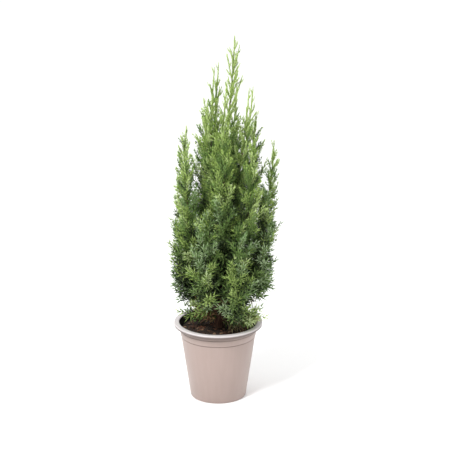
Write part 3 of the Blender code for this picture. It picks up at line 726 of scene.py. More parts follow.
def plan_plumes():
    """Each tier spreads its boughs round the trunk. One that would crowd another starts higher."""
    rng = random.Random(SEED)
    found = []
    for tier, count, first_azimuth, starts, reaches, tips in TIERS:
        for index in range(count):
            share = (index * TIER_STRIDE % count) / (count - 1)
            azimuth = first_azimuth + 360.0 * index / count
            azimuth += rng.uniform(-AZIMUTH_JITTER, AZIMUTH_JITTER)
            reach = mix(reaches, share) * rng.uniform(*REACH_JITTER)
            tip = mix(tips, share) + rng.uniform(-TIP_JITTER, TIP_JITTER)
            plume = Plume(tier, f"{tier}_{index + 1}", azimuth, mix(starts, share), reach, tip)
            while any(crowded(plume, other) for other in found):
                plume.start += AXIS_STEP
            found.append(plume)
    found.append(Plume("leader", "leader", 0.0, TRUNK_TOP, 0.0, CROWN_HEIGHT))
    return found


plumes = plan_plumes()
number_of = {plume.name: number for number, plume in enumerate(plumes)}
print(len(plumes), "plumes")


# %% Limbs as plain tubes, which the shoots must clear
def frame_round(direction):
    """Two unit vectors across a direction."""
    side = direction.cross(Vector((0.0, 0.0, 1.0)))
    if side.length < 0.05:
        side = direction.cross(Vector((0.0, 1.0, 0.0)))
    side.normalize()
    return side, direction.cross(side).normalized()


def rings_along(points, radii, sides, turn=0.0, twist=0.0):
    """Rings of corners along a curved limb. Each ring is turned by the twist against the last."""
    across = frame_round((points[1] - points[0]).normalized())[0]
    rings = []
    for index, (point, radius) in enumerate(zip(points, radii)):
        before, after = points[max(index - 1, 0)], points[min(index + 1, len(points) - 1)]
        along = (after - before).normalized()
        across = (across - along * across.dot(along)).normalized()
        up = along.cross(across)
        angles = [turn + (index * twist + k) * math.tau / sides for k in range(sides)]
        rings.append([point + (across * math.cos(a) + up * math.sin(a)) * radius for a in angles])
    return rings


def tube(points, radii, sides):
    """A tapering limb through the points, closed at both ends."""
    vertices = [place for ring in rings_along(points, radii, sides) for place in ring]
    faces = []
    for row in range(len(points) - 1):
        for side in range(sides):
            a, b = row * sides + side, row * sides + (side + 1) % sides
            faces.append((a, b, b + sides, a + sides))
    faces.append(tuple(range(sides))[::-1])
    faces.append(tuple(range(len(vertices) - sides, len(vertices))))
    return vertices, faces


BOUGH_CLEAR = 1.4
BOUGH_ROWS = 5
BOUGH_SIDES = 5
TRUNK_SIDES = 10
TRUNK_ROWS = 24


def bough_line(plume):
    """Points and radii along a bough, from the trunk's skin to the foot of its plume."""
    clear = clear_share(plume, BOUGH_RADII[0] * BOUGH_CLEAR)
    points = [plume.point(clear_share(plume, 0.0))]
    points += plume.line(clear, plume.foot_share, BOUGH_ROWS)
    scale = BOUGH_SCALE[plume.tier]
    return points, [mix(BOUGH_RADII, i / BOUGH_ROWS) * scale for i in range(BOUGH_ROWS + 1)]


bough_lines = {plume.name: bough_line(plume) for plume in plumes if plume.tier != "leader"}
rows = [TRUNK_TOP * row / TRUNK_ROWS for row in range(TRUNK_ROWS + 1)]
limb_points, limb_faces = tube([trunk_point(h) for h in rows], [trunk_radius(h) for h in rows], TRUNK_SIDES)
for points, radii in bough_lines.values():
    more, faces = tube(points, [radius + LIMB_CLEARANCE for radius in radii], BOUGH_SIDES)
    limb_faces += [tuple(v + len(limb_points) for v in face) for face in faces]
    limb_points += more
limbs = BVHTree.FromPolygons(limb_points, limb_faces)
lines = {plume.name: plume.line(plume.foot_share, 1.0, LINE_POINTS) for plume in plumes}
print(len(bough_lines), "boughs,", len(limb_faces), "faces of plain limbs")


# %% Where a shoot may grow
def room(points, plume):
    """How much nearer each point is to this plume's axis than to any other's."""
    others = [distances(points, line) for name, line in lines.items() if name != plume.name]
    return np.min(others, axis=0) - distances(points, lines[plume.name])


def clears_pot(points):
    """Above the rim, or inside it and above the potting mix."""
    inner = wall_radius(GROUND) - WALL_MARGIN
    over_rim = POT_HEIGHT + RIM_MARGIN
    over_mix = GROUND + MIX_LUMP + MIX_MARGIN
    return all(p.z > over_rim or (p.xy.length < inner and p.z > over_mix) for p in points)


def outward_frame(plume, along):
    """Two unit vectors across a plume's axis. The first points away from the trunk."""
    point, tangent = plume.point(along), plume.tangent(along)
    away = point - trunk_point(point.z - GROUND)
    if away.length < AXIS_STEP:
        away = Vector((1.0, 0.0, 0.0))
    side = (away - tangent * away.dot(tangent)).normalized()
    return side, tangent.cross(side)


# %% The space that a needled shoot takes
def shoot_space(start, heading, length, fineness, turn):
    """The CAD's needled shoot: its corners and faces, with its needles' roots and tips."""
    needle_length = mix(NEEDLE_LENGTH, fineness)
    needle_angle = math.radians(mix(NEEDLE_ANGLE, fineness))
    rise = Vector((0.0, 0.0, SHOOT_RISE * length))
    spread = WHORLS + WHORL_START + WHORL_END
    shares = [(row + WHORL_START) / spread for row in range(WHORLS + 1)]
    points = [start + heading * length * share + rise * share**2 for share in shares]
    radii = [mix(CORE_RADIUS, fineness) * (1.0 - CORE_TAPER * share) for share in shares]
    rings = rings_along(points, radii, 3, turn, 0.5)
    vertices = [place for ring in rings for place in ring]
    last, top = len(vertices) - 3, len(vertices)
    vertices += [start + heading * length + rise, start]
    faces = [(last + k, last + (k + 1) % 3, top) for k in range(3)]
    faces += [((k + 1) % 3, k, top + 1) for k in range(3)]
    needles = []
    for row in range(WHORLS):
        along = (points[row + 1] - points[row]).normalized()
        for k in range(3):
            a, b = row * 3 + k, row * 3 + (k + 1) % 3
            c, d = a + 3, (row + 1) * 3 + (k - 1) % 3
            middle = (vertices[a] + vertices[b] + vertices[c]) / 3
            out = middle - points[row]
            out = (out - along * out.dot(along)).normalized()
            end = len(vertices)
            needle = along * math.cos(needle_angle) + out * math.sin(needle_angle)
            vertices.append(middle + needle * needle_length)
            needles.append((middle, vertices[end]))
            faces += [(a, c, d), (a, b, end), (b, c, end), (c, a, end)]
    return vertices, faces, needles


def heart_radii(plume):
    """Shares and radii along a plume's dense heart, which swells as far as its space allows."""
    first = plume.foot_share
    fine_line = plume.line(first, STEM_END, 2 * LINE_POINTS)
    length = sum((b - a).length for a, b in zip(fine_line, fine_line[1:]))
    rows = round(length / STEM_ROW)
    shares = [first] + [mix((first + STEM_FOOT, STEM_END), i / rows) for i in range(rows + 1)]
    others = [line for name, line in lines.items() if name != plume.name]
    radii = []
    for index, share in enumerate(shares):
        point = plume.point(share)
        up_stem = (share - first) / (1 - first)
        stem = mix(STEM_RADII, up_stem)
        swell = (1.0 - up_stem**2) if index > 1 else 0.0
        near = min(distances([point], line)[0] for line in others) / 2 - 2 * SEAM
        to_limb = limbs.find_nearest(point)[3] - LIMB_CLEARANCE
        radii.append(max(stem, min(stem + (HEART[plume.tier] - stem) * swell, near, to_limb)))
    return shares, radii


# %% The main shoots, as in the CAD solids
def forks_at(plume, share):
    """Whether a shoot at this share may be a fork, longer and steeper than the rest."""
    low, high = FORK_SPAN.get(plume.tier, (1.0, 0.0))
    return low < share < high


def plan_shoots(plume, heart):
    """The shoots on a plume by a seeded rule, each with the starts, headings and lengths to try."""
    rng = random.Random(f"{SEED} {plume.name}")
    count = SHOOTS[plume.tier]
    turn = rng.uniform(0.0, 360.0)
    span = (plume.foot_share + SHOOT_SPAN[0], SHOOT_SPAN[1])
    for index in range(count):
        share = (index + 0.5) / count
        along = mix(span, share)
        fineness = mix(FINENESS[plume.tier], share)
        turn += GOLDEN_ANGLE
        point, tangent = plume.point(along), plume.tangent(along)
        side, up = outward_frame(plume, along)
        fork = index % FORK_EVERY == 1 and forks_at(plume, share)
        choices = []
        for attempt in range(ATTEMPTS):
            worse = attempt / ATTEMPTS
            opening = rng.uniform(*SHOOT_ANGLE_SPREAD) - ANGLE_LOSS * worse
            angle = math.radians(mix(SHOOT_ANGLE, fineness) * opening)
            angle *= FORK_CLOSING if fork else 1.0
            swing = math.radians(turn + worse * rng.uniform(-180.0, 180.0))
            swing -= OUTWARD_BIAS * math.sin(swing)
            out = side * math.cos(swing) + up * math.sin(swing)
            heading = (tangent * math.cos(angle) + out * math.sin(angle)).normalized()
            start = point + out * max(heart(along) - SINK, 0.0)
            length = mix(SHOOT_LENGTH, fineness) * (FIRST_LENGTH - LENGTH_LOSS * worse)
            length *= 1.0 - TIP_LOSS * share**3
            length *= FORK_STRETCH if fork else 1.0
            choices.append((start, heading, length))
        yield fineness, choices, rng.uniform(0.0, math.tau)


def place_shoots(plume):
    """The shoots that find room: each takes the first choice that touches nothing."""
    shares, radii = heart_radii(plume)
    placed_points, placed_faces, shoots = [], [], []
    tree = None
    for fineness, choices, turn in plan_shoots(plume, lambda share: np.interp(share, shares, radii)):
        for start, heading, length in choices:
            vertices, faces, needles = shoot_space(start, heading, length, fineness, turn)
            places = list(vertices)
            places += [root.lerp(tip, part) for root, tip in needles for part in NEEDLE_PARTS]
            outside = [p for p in places if (p - start).length > SINK]
            if not clears_pot(places) or room(outside, plume).min() < 2 * SEAM:
                continue
            shoot = BVHTree.FromPolygons(vertices, faces)
            if shoot.overlap(limbs) or (tree and shoot.overlap(tree)):
                continue
            shoots.append((start, heading, length, fineness))
            placed_faces += [tuple(v + len(placed_points) for v in face) for face in faces]
            placed_points += vertices
            tree = BVHTree.FromPolygons(placed_points, placed_faces)
            break
    return shoots


main_shoots = {plume.name: place_shoots(plume) for plume in plumes}
print(sum(len(found) for found in main_shoots.values()), "main shoots")

# %% [markdown]
# ## Finer twigs
# On the real plant the stems carry far more shoots than the plain solids, and each shoot carries
# short side twigs. There are thousands of them, so they are kept as arrays, one row a twig, and
# the same few lines of numpy place and test all of them at once. A twig is straight at its start
# and curves up towards its tip.

# %% Twigs as arrays
UP = np.array((0.0, 0.0, 1.0))
CHUNK = 2000
axes = np.array([[tuple(p) for p in lines[plume.name]] for plume in plumes])


def axis_distances(points):
    """The distance from each point to each plume's axis, one column a plume."""
    starts, steps = axes[:, :-1], axes[:, 1:] - axes[:, :-1]
    found = []
    for part in np.array_split(points, len(points) // CHUNK + 1):
        away = part[:, None, None] - starts
        along = np.clip((away * steps).sum(-1) / (steps**2).sum(-1), 0.0, 1.0)
        found.append(np.linalg.norm(away - along[..., None] * steps, axis=-1).min(-1))
    return np.concatenate(found)


def unit(vectors):
    return vectors / np.linalg.norm(vectors, axis=1, keepdims=True)


def picked(twigs, which):
    return {key: values[which] for key, values in twigs.items()}


def gathered(groups):
    return {key: np.concatenate([group[key] for group in groups]) for key in groups[0]}


def point_on(twigs, share):
    """The point at this share of each twig."""
    run = twigs["heading"] + UP * (SHOOT_RISE * share)[:, None]
    return twigs["start"] + run * (twigs["length"] * share)[:, None]


def direction_on(twigs, share):
    return unit(twigs["heading"] + UP * (2 * SHOOT_RISE * share)[:, None])


# %% A twig's own space
PLUME_RADIUS = {
    "skirt": (0.013, 0.006),
    "low": (0.028, 0.007),
    "mid": (0.031, 0.005),
    "upper": (0.026, 0.004),
    "leader": (0.022, 0.003),
}
COLUMN_POWER = 3.0
CROWN_REACH = (0.070, 0.077)
radii_of = np.array([PLUME_RADIUS[plume.tier] for plume in plumes])
feet, tips = axes[:, 0, 2], axes[:, -1, 2]


def height_share(points, owner):
    """How far up its plume each point is."""
    return np.clip((points[:, 2] - feet[owner]) / (tips[owner] - feet[owner]), 0.0, 1.0)


def column_radius(points, owner):
    """The radius of the slender column that a plume fills, at each point's height."""
    return mix(radii_of[owner].T, height_share(points, owner) ** COLUMN_POWER)


def clears_all(points, reach):
    """Whether each point keeps to the crown's reach, and off the trunk, the pot and the mix."""
    height = np.clip(points[:, 2] - GROUND, 0.0, TRUNK_TOP)
    swing = SWAY * np.sin(height * SWAY_PACE)
    middle = np.stack((LEAN * height + swing, -SWAY_ACROSS * swing), axis=1)
    girth = mix((TRUNK_RADIUS, TRUNK_TIP_RADIUS), (height / TRUNK_TOP) ** TRUNK_POWER)
    from_trunk = np.linalg.norm(points[:, :2] - middle, axis=1)
    good = (from_trunk > girth + MIX_MARGIN) | (points[:, 2] > GROUND + TRUNK_TOP)
    good &= from_trunk < reach
    inside = (np.linalg.norm(points[:, :2], axis=1) < wall_radius(GROUND) - WALL_MARGIN)
    inside &= points[:, 2] > GROUND + MIX_LUMP + MIX_MARGIN
    return good & ((points[:, 2] > POT_HEIGHT + RIM_MARGIN) | inside)


def in_space(points, owner, slack, reach):
    """Whether each point keeps to its plume's own space, and off all else."""
    every = axis_distances(points)
    rows = np.arange(len(points))
    own = every[rows, owner]
    every[rows, owner] = np.inf
    good = (every.min(1) - own > -slack) & (own < column_radius(points, owner))
    return good & clears_all(points, reach)


SHORTER = (1.0, 0.8, 0.6, 0.4)
draw = np.random.default_rng(SEED)


def fitted(twigs, slack):
    """Each twig at the first of the lengths to try that keeps to its space. The rest are dropped."""
    kept = []
    twigs = {**twigs, "reach": draw.uniform(*CROWN_REACH, len(twigs["length"]))}
    for shorter in SHORTER:
        tried = {**twigs, "length": twigs["length"] * shorter}
        good = np.ones(len(tried["length"]), dtype=bool)
        for part in (0.55, 1.0):
            points = point_on(tried, np.full(len(good), part))
            good &= in_space(points, tried["owner"], slack, tried["reach"])
        kept.append(picked(tried, good))
        twigs = picked(twigs, ~good)
    fit = gathered(kept)
    fit.pop("reach")
    return fit


# %% Shoots all along every stem
STEM_SHOOT_SPACING = {"skirt": 0.0070, "low": 0.0056, "mid": 0.0046, "upper": 0.0062, "leader": 0.0074}
STEM_SHOOT_LENGTH = (0.72, 1.0)
STEM_SHOOT_END = {"skirt": 0.975, "low": 0.975, "mid": 0.93, "upper": 0.88, "leader": 0.80}
INNER_START = {"mid": 0.08, "upper": 0.08}
STEM_FORK_EVERY = 6
TERMINAL_START = 0.92
TERMINAL_LENGTH = 0.85
SHOOT_SLACK = 0.0015
NEEDLE_OVERHANG = 0.0045


def stem_shoots(plume):
    """Shoots by the golden angle along one plume's stem, with the lengths and angles of the rule."""
    first = INNER_START.get(plume.tier, plume.foot_share + 0.01)
    line = plume.line(first, 0.97, 2 * LINE_POINTS)
    length = sum((b - a).length for a, b in zip(line, line[1:]))
    count = round(length / STEM_SHOOT_SPACING[plume.tier])
    found = []
    for index in range(count):
        share = (index + 0.5) / count
        along = mix((first, STEM_SHOOT_END[plume.tier]), share)
        fineness = mix(FINENESS[plume.tier], share)
        side, up = outward_frame(plume, along)
        swing = math.radians(GOLDEN_ANGLE * index + draw.uniform(-12.0, 12.0))
        swing -= OUTWARD_BIAS * math.sin(swing)
        angle = math.radians(mix(SHOOT_ANGLE, fineness) * draw.uniform(0.75, 1.2))
        out = side * math.cos(swing) + up * math.sin(swing)
        reach = mix(SHOOT_LENGTH, fineness) * draw.uniform(*STEM_SHOOT_LENGTH)
        if index % STEM_FORK_EVERY == 0 and forks_at(plume, share):
            angle *= FORK_CLOSING
            reach *= FORK_STRETCH
        heading = plume.tangent(along) * math.cos(angle) + out * math.sin(angle)
        found.append((plume.point(along), heading, reach * (1.0 - 0.45 * share**3), fineness))
    end = plume.point(1.0) - plume.point(TERMINAL_START)
    found.append((plume.point(TERMINAL_START), end, end.length * TERMINAL_LENGTH, fineness))
    return found


def as_arrays(rows, owner):
    return {
        "start": np.array([tuple(row[0]) for row in rows]),
        "heading": unit(np.array([tuple(row[1]) for row in rows])),
        "length": np.array([row[2] for row in rows]),
        "fine": np.array([row[3] for row in rows]),
        "owner": np.full(len(rows), owner),
    }


extra = gathered([as_arrays(stem_shoots(plume), number_of[plume.name]) for plume in plumes])
asked = len(extra["length"])
extra = fitted(extra, SHOOT_SLACK)
main = gathered([as_arrays(rows, number_of[name]) for name, rows in main_shoots.items() if rows])
main["length"] -= NEEDLE_OVERHANG
print(len(extra["length"]), "of", asked, "stem shoots find room")


# %% Shoots off the trunk, which fill the inside of the crown
FOOT_SPAN = (0.012, 0.036)
FOOT_SPACING = 0.0012
FOOT_LENGTH = (0.052, 0.048)
FOOT_ANGLE = (98.0, 68.0)
FRONT_GAP = 0.85
INNER_SPAN = (0.032, 0.270)
INNER_SPACING = 0.0022
INNER_LENGTH = (0.054, 0.042)
INNER_ANGLE = (62.0, 34.0)


def trunk_shoots(span, spacing, lengths, angles):
    """Shoots off the trunk itself, which belong to whichever plume is nearest to their tips."""
    count = round((span[1] - span[0]) / spacing)
    rows = []
    for index in range(count):
        share = (index + 0.5) / count
        height = mix(span, share)
        turn = math.radians(GOLDEN_ANGLE * index)
        angle = math.radians(mix(angles, share))
        flat = Vector((math.cos(turn), math.sin(turn), 0.0)) * math.sin(angle)
        heading = flat + Vector((LEAN, 0.0, math.cos(angle)))
        length = mix(lengths, share) * draw.uniform(0.7, 1.1)
        rows.append((trunk_point(height), heading, length, 0.35 * share))
    found = as_arrays(rows, 0)
    found["owner"] = axis_distances(point_on(found, np.ones(count))).argmin(1)
    return found


def all_clear(twigs):
    """The twigs whose middles and tips clear the trunk, the pot and the mix."""
    halves = [clears_all(point_on(twigs, np.full(len(twigs["length"]), part)), CROWN_REACH[0]) for part in (0.5, 1.0)]
    return picked(twigs, halves[0] & halves[1])


foot = all_clear(trunk_shoots(FOOT_SPAN, FOOT_SPACING, FOOT_LENGTH, FOOT_ANGLE))
foot = picked(foot, foot["heading"][:, 1] > -FRONT_GAP)
inner = trunk_shoots(INNER_SPAN, INNER_SPACING, INNER_LENGTH, INNER_ANGLE)
shoots = gathered([main, extra, foot, inner])
print(len(inner["length"]), "inner shoots;", len(shoots["length"]), "shoots in all")

# %% Side twigs on every shoot
TWIG_SPACING = (0.0056, 0.0095)
TWIG_LENGTH = (0.0150, 0.0090)
TWIG_TAPER = 0.45
TWIG_ANGLE = (54.0, 30.0)
TWIG_SLACK = 0.0025


def side_twigs(parents):
    """Twigs by the golden angle along every parent, shorter towards its tip."""
    count = np.maximum((parents["length"] * 0.9 / mix(TWIG_SPACING, parents["fine"])).astype(int), 1)
    parent = np.repeat(np.arange(len(count)), count)
    order = np.arange(count.sum()) - np.repeat(np.cumsum(count) - count, count)
    share = 0.10 + 0.88 * (order + draw.uniform(0.2, 0.8, len(order))) / count[parent]
    stems = picked(parents, parent)
    along = direction_on(stems, share)
    side = unit(np.cross(along, UP + 0.01))
    up = np.cross(along, side)
    first_turn = draw.uniform(0.0, math.tau, len(count))
    turn = first_turn[parent] + np.radians(GOLDEN_ANGLE) * order
    angle = np.radians(mix(TWIG_ANGLE, stems["fine"]) * draw.uniform(0.8, 1.15, len(order)))
    out = side * np.cos(turn)[:, None] + up * np.sin(turn)[:, None]
    heading = along * np.cos(angle)[:, None] + out * np.sin(angle)[:, None]
    length = mix(TWIG_LENGTH, stems["fine"]) * (1.0 - TWIG_TAPER * share)
    return {
        "start": point_on(stems, share),
        "heading": unit(heading),
        "length": length * draw.uniform(0.75, 1.15, len(order)),
        "fine": np.clip(stems["fine"] + 0.12 * share, 0.0, 1.0),
        "owner": stems["owner"],
        "spray": stems["spray"],
        "place": share,
    }


shoots["spray"] = np.arange(len(shoots["length"]))
shoots["place"] = np.full(len(shoots["length"]), 0.5)
twigs = side_twigs(shoots)
asked = len(twigs["length"])
twigs = fitted(twigs, TWIG_SLACK)
print(len(twigs["length"]), "of", asked, "side twigs find room")
low_sprays = picked(shoots, slice(len(main["length"]) + len(extra["length"]), -len(inner["length"])))
low_twigs = all_clear(side_twigs(low_sprays))
print(len(low_sprays["length"]), "low sprays with", len(low_twigs["length"]), "twigs")
twigs = gathered([twigs, low_twigs])

# %% [markdown]
# ## Needles
# A juniper's young needle is an awl: stiff, about 8 mm long and 1 mm wide, with a keel behind and a
# pale band on its upper face. Four faces give it that shape. Needles stand in whorls of three, and
# each whorl is turned against the last. They stand out like stars low on the plant and lie close
# along the shoots at the top.

# %% Whorls of three along every twig
WHORL_SPACING = (0.0036, 0.0019)
AWL_LENGTH = (0.0132, 0.0052)
AWL_WIDTH = (0.00220, 0.00130)
AWL_ANGLE = (58.0, 19.0)
TIP_CLOSING = (0.20, 0.75)
TIP_SHORTENING = (0.0, 0.35)


def needle_rows(twigs):
    """Root, direction, upper side, length, width and twig of every needle."""
    fine = twigs["fine"]
    count = np.maximum(np.round(twigs["length"] * 0.94 / mix(WHORL_SPACING, fine)).astype(int), 2)
    whorl_twig = np.repeat(np.arange(len(count)), count)
    order = np.arange(count.sum()) - np.repeat(np.cumsum(count) - count, count)
    share = 0.06 + 0.94 * order / (count[whorl_twig] - 1)
    first_turn = draw.uniform(0.0, math.tau, len(count))
    turn = first_turn[whorl_twig] + order * (math.pi / 3) + draw.uniform(-0.12, 0.12, len(order))
    twig = np.repeat(whorl_twig, 3)
    share = np.repeat(share, 3)
    turn = np.repeat(turn, 3) + np.tile(np.arange(3) * math.tau / 3, len(order))
    turn += draw.uniform(-0.2, 0.2, len(turn))
    stems = picked(twigs, twig)
    along = direction_on(stems, share)
    side = unit(np.cross(along, UP + 0.01))
    up = np.cross(along, side)
    out = side * np.cos(turn)[:, None] + up * np.sin(turn)[:, None]
    tip = np.clip((share - 0.70) / 0.30, 0.0, 1.0)
    closing = 1.0 - mix(TIP_CLOSING, stems["fine"]) * tip
    angle = np.radians(mix(AWL_ANGLE, stems["fine"]) * draw.uniform(0.8, 1.15, len(turn))) * closing
    cos, sin = np.cos(angle)[:, None], np.sin(angle)[:, None]
    length = mix(AWL_LENGTH, stems["fine"]) * draw.uniform(0.8, 1.12, len(turn))
    length *= 1.0 - mix(TIP_SHORTENING, stems["fine"]) * tip
    return {
        "root": point_on(stems, share),
        "direction": along * cos + out * sin,
        "upper": along * sin - out * cos,
        "length": length,
        "width": mix(AWL_WIDTH, stems["fine"]),
        "twig": twig,
    }


# %% Needles on the stems themselves
SHEATH_START = {"skirt": 0.45, "low": 0.45, "mid": 0.40, "upper": 0.30, "leader": 0.05}
SHEATH_END = 0.96
SHEATH_PIECES = 9


def stem_sheath(plume):
    """Short lengths of a plume's stem, which carry needles but no side twigs."""
    places = np.linspace(SHEATH_START[plume.tier], SHEATH_END, SHEATH_PIECES + 1)
    rows = []
    for low, high in zip(places, places[1:]):
        run = plume.point(high) - plume.point(low)
        rows.append((plume.point(low), run, run.length, mix(FINENESS[plume.tier], high)))
    return as_arrays(rows, number_of[plume.name])


sheath = gathered([stem_sheath(plume) for plume in plumes])
sheath["spray"] = draw.integers(0, len(shoots["length"]), len(sheath["length"]))
sheath["place"] = np.full(len(sheath["length"]), 0.5)
leafy = gathered([shoots, twigs, sheath])
needles = needle_rows(leafy)
print(len(needles["length"]), "needles on", len(leafy["length"]), "shoots and twigs")


# %% One mesh from many needles
def needle_mesh(name, rows):
    """Awls of four faces: an upper face, two flanks that meet in the keel, and the root's end."""
    root, direction, upper = rows["root"], rows["direction"], rows["upper"]
    length, width = rows["length"][:, None], rows["width"][:, None]
    across = unit(np.cross(direction, upper))
    keel = root + direction * length * 0.30 - upper * width * 0.42
    left = root - across * width * 0.5 + direction * length * 0.15
    right = root + across * width * 0.5 + direction * length * 0.15
    tip = root + direction * length + upper * length * 0.06
    count = len(length)
    points = np.stack([left, right, keel, tip], axis=1).reshape(-1, 3)
    base = np.arange(count)[:, None] * 4
    corners = np.concatenate([base + face for face in ([0, 1, 3], [0, 3, 2], [1, 2, 3], [0, 2, 1])], axis=1)
    mesh = bpy.data.meshes.new(name)
    mesh.vertices.add(count * 4)
    mesh.vertices.foreach_set("co", points.astype(np.float32).ravel())
    mesh.loops.add(count * 12)
    mesh.loops.foreach_set("vertex_index", corners.astype(np.int32).ravel())
    mesh.polygons.add(count * 4)
    mesh.polygons.foreach_set("loop_start", np.arange(0, count * 12, 3, dtype=np.int32))
    mesh.polygons.foreach_set("loop_total", np.full(count * 4, 3, dtype=np.int32))
    mesh.polygons.foreach_set("material_index", np.tile([0, 1, 1, 1], count).astype(np.int32))
    mesh.update(calc_edges=True)
    return mesh



# %% [markdown]
# ## Tints
# The crown is not one green, and light and shade are painted into its tints. Sprays deep inside and
# on the low tier take darker tints, painted shade, and sprays towards the outline and the top take
# lighter ones, painted light. The young tips are light in their own colour. Low on the plant some
# sprays are blue-green with a whitish band. Each spray takes one plain tint, dealt out by where it
# grows and a little by chance.

# %% Deal a tint to every spray
# The darkest tint is a near-black green that paints the shade deep in the crown.
TINTS = {
    "deep": ((0.020, 0.038, 0.010), (0.040, 0.070, 0.020)),
    "green": ((0.120, 0.220, 0.045), (0.22, 0.34, 0.10)),
    "fresh": ((0.300, 0.440, 0.095), (0.37, 0.50, 0.15)),
    "light": ((0.470, 0.620, 0.200), (0.58, 0.70, 0.34)),
    "blue": ((0.190, 0.320, 0.105), (0.42, 0.55, 0.30)),
    "dry": ((0.200, 0.095, 0.040), (0.290, 0.165, 0.080)),
    "straw": ((0.330, 0.270, 0.110), (0.480, 0.410, 0.220)),
}
# The low tier's small value paints the shade low on the crown. The outward and upward terms paint light.
TIER_LIGHT = {"skirt": 0.32, "low": 0.11, "mid": 0.26, "upper": 0.50, "leader": 0.62}
OUT_LIGHT = 0.34
TOP_LIGHT = 0.14
TIP_LIGHT = 0.16
DEPTH_SHADE = 0.55
CROWN_OUTLINE = ((0.0, 0.27, CROWN_HEIGHT), (0.074, 0.068, 0.010))
CHANCE = 0.06
SPRAY_CHANCE = 0.13
STEPS = (0.33, 0.55, 0.76)
BLUE_SHARE = {"skirt": 0.35, "low": 0.28, "mid": 0.08, "upper": 0.0, "leader": 0.0}
DRY_BELOW = POT_HEIGHT + 0.050
DRY_WITHIN = 0.036
DRY_SHARE = 0.60
TINT_NAMES = ("deep", "green", "fresh", "light", "blue", "dry", "straw")
STRAW_BELOW = POT_HEIGHT + 0.018
STRAW_SHARE = 0.30


def exposure(points):
    """How far out towards the crown's outline each point lies."""
    height = points[:, 2] - GROUND
    from_axis = np.hypot(points[:, 0] - LEAN * height, points[:, 1])
    return from_axis / np.interp(height, *CROWN_OUTLINE)


def tint_numbers(twigs):
    """The number of each twig's tint, by how far out and how high it ends: a score that paints light outwards and
    upwards and shade deep inside.
    """
    owner = twigs["owner"]
    ends = point_on(twigs, np.ones(len(owner)))
    out = axis_distances(ends)[np.arange(len(owner)), owner] / column_radius(ends, owner)
    tiers = [plumes[number].tier for number in owner]
    high = height_share(ends, owner)
    # The score rises outwards and upwards, which paints light. Young tips are lighter in their own colour.
    light = np.array([TIER_LIGHT[tier] for tier in tiers]) + OUT_LIGHT * np.maximum(out, high**5)
    light += TOP_LIGHT * high + TIP_LIGHT * (twigs["place"] - 0.5)
    # Deep inside the crown, under the tips, the score falls, which paints shade.
    below_tips = np.interp(ends[:, 2] - GROUND, (0.24, 0.34), (1.0, 0.0))
    light += DEPTH_SHADE * below_tips * (np.minimum(exposure(ends), 1.0) - 0.8)
    light += draw.normal(0.0, CHANCE, len(owner))
    light += draw.normal(0.0, SPRAY_CHANCE, spray_count)[twigs["spray"]]
    numbers = np.digitize(light, STEPS)
    blue = draw.random(spray_count)[twigs["spray"]] < np.array([BLUE_SHARE[tier] for tier in tiers])
    numbers[blue & (numbers > 0)] = 4
    low = (ends[:, 2] < DRY_BELOW) & (np.linalg.norm(ends[:, :2], axis=1) < DRY_WITHIN)
    numbers[low & (draw.random(len(owner)) < DRY_SHARE)] = 5
    lowest = (ends[:, 2] < STRAW_BELOW) & (np.linalg.norm(ends[:, :2], axis=1) < RIM_RADIUS)
    numbers[lowest & (draw.random(spray_count)[twigs["spray"]] < STRAW_SHARE)] = 6
    return numbers


spray_count = len(shoots["length"])
leafy_tint = tint_numbers(leafy)
print({name: int((leafy_tint == number).sum()) for number, name in enumerate(TINT_NAMES)})

# %% Needles by tier and tint
NEEDLE_GLOSS = 0.3
tint_materials = {
    tint: (
        plain_material(f"needle_band_{tint}", band, 0.60, NEEDLE_GLOSS),
        plain_material(f"needle_{tint}", green, 0.55, NEEDLE_GLOSS),
    )
    for tint, (green, band) in TINTS.items()
}
tier_names = [tier for tier, *_ in TIERS] + ["leader"]
masses_of = {tier: [plume.name for plume in plumes if plume.tier == tier] for tier in tier_names}
needle_tier = np.array([tier_names.index(plume.tier) for plume in plumes])[leafy["owner"][needles["twig"]]]
needle_tint = leafy_tint[needles["twig"]]
PIECE_NEEDLES = 48000
for tier_number, tier in enumerate(tier_names):
    for tint_number, tint in enumerate(TINT_NAMES):
        mine = np.flatnonzero((needle_tier == tier_number) & (needle_tint == tint_number))
        for part in range(0, len(mine), PIECE_NEEDLES):
            name = f"needles_{tier}_{tint}_{part // PIECE_NEEDLES + 1}"
            mesh = needle_mesh(name, picked(needles, mine[part : part + PIECE_NEEDLES]))
            link_piece(name, mesh, tint_materials[tint], masses_of[tier])

# %% [markdown]
# ## Shoots, twigs and stems
# Under the needles run thin tapering limbs. A side twig is so thin that three faces are enough.
# The young shoots are green, and the plumes' stems are brown and woody at the foot and turn green
# towards the tip.


# %% Green and woody finishes
green_twig = mottled_material(
    "green_twig", (0.085, 0.13, 0.035), (0.21, 0.27, 0.08), 260.0, (1.0, 1.0, 0.4), 0.6, 0.0002
)
woody_twig = mottled_material(
    "woody_twig", (0.030, 0.017, 0.009), (0.105, 0.058, 0.030), 300.0, (1.0, 1.0, 0.25), 0.8, 0.0003
)


# %% Spikes for the side twigs
def rings_mesh(name, rings):
    """Closed limbs in one mesh from an array of rings: limb, row, corner, place."""
    limbs_count, rows, sides, _ = rings.shape
    base = np.arange(limbs_count)[:, None, None] * (rows * sides)
    row = np.arange(rows - 1)[None, :, None] * sides
    corner = np.arange(sides)
    a = base + row + corner
    b = base + row + (corner + 1) % sides
    walls = np.stack([a, b, b + sides, a + sides], axis=-1).reshape(-1, 4)
    foot = (base[:, 0] + corner[::-1]).reshape(-1, sides)
    end = (base[:, 0] + (rows - 1) * sides + corner).reshape(-1, sides)
    mesh = bpy.data.meshes.new(name)
    mesh.from_pydata(rings.reshape(-1, 3).tolist(), [], walls.tolist() + foot.tolist() + end.tolist())
    mesh.shade_smooth()
    return mesh


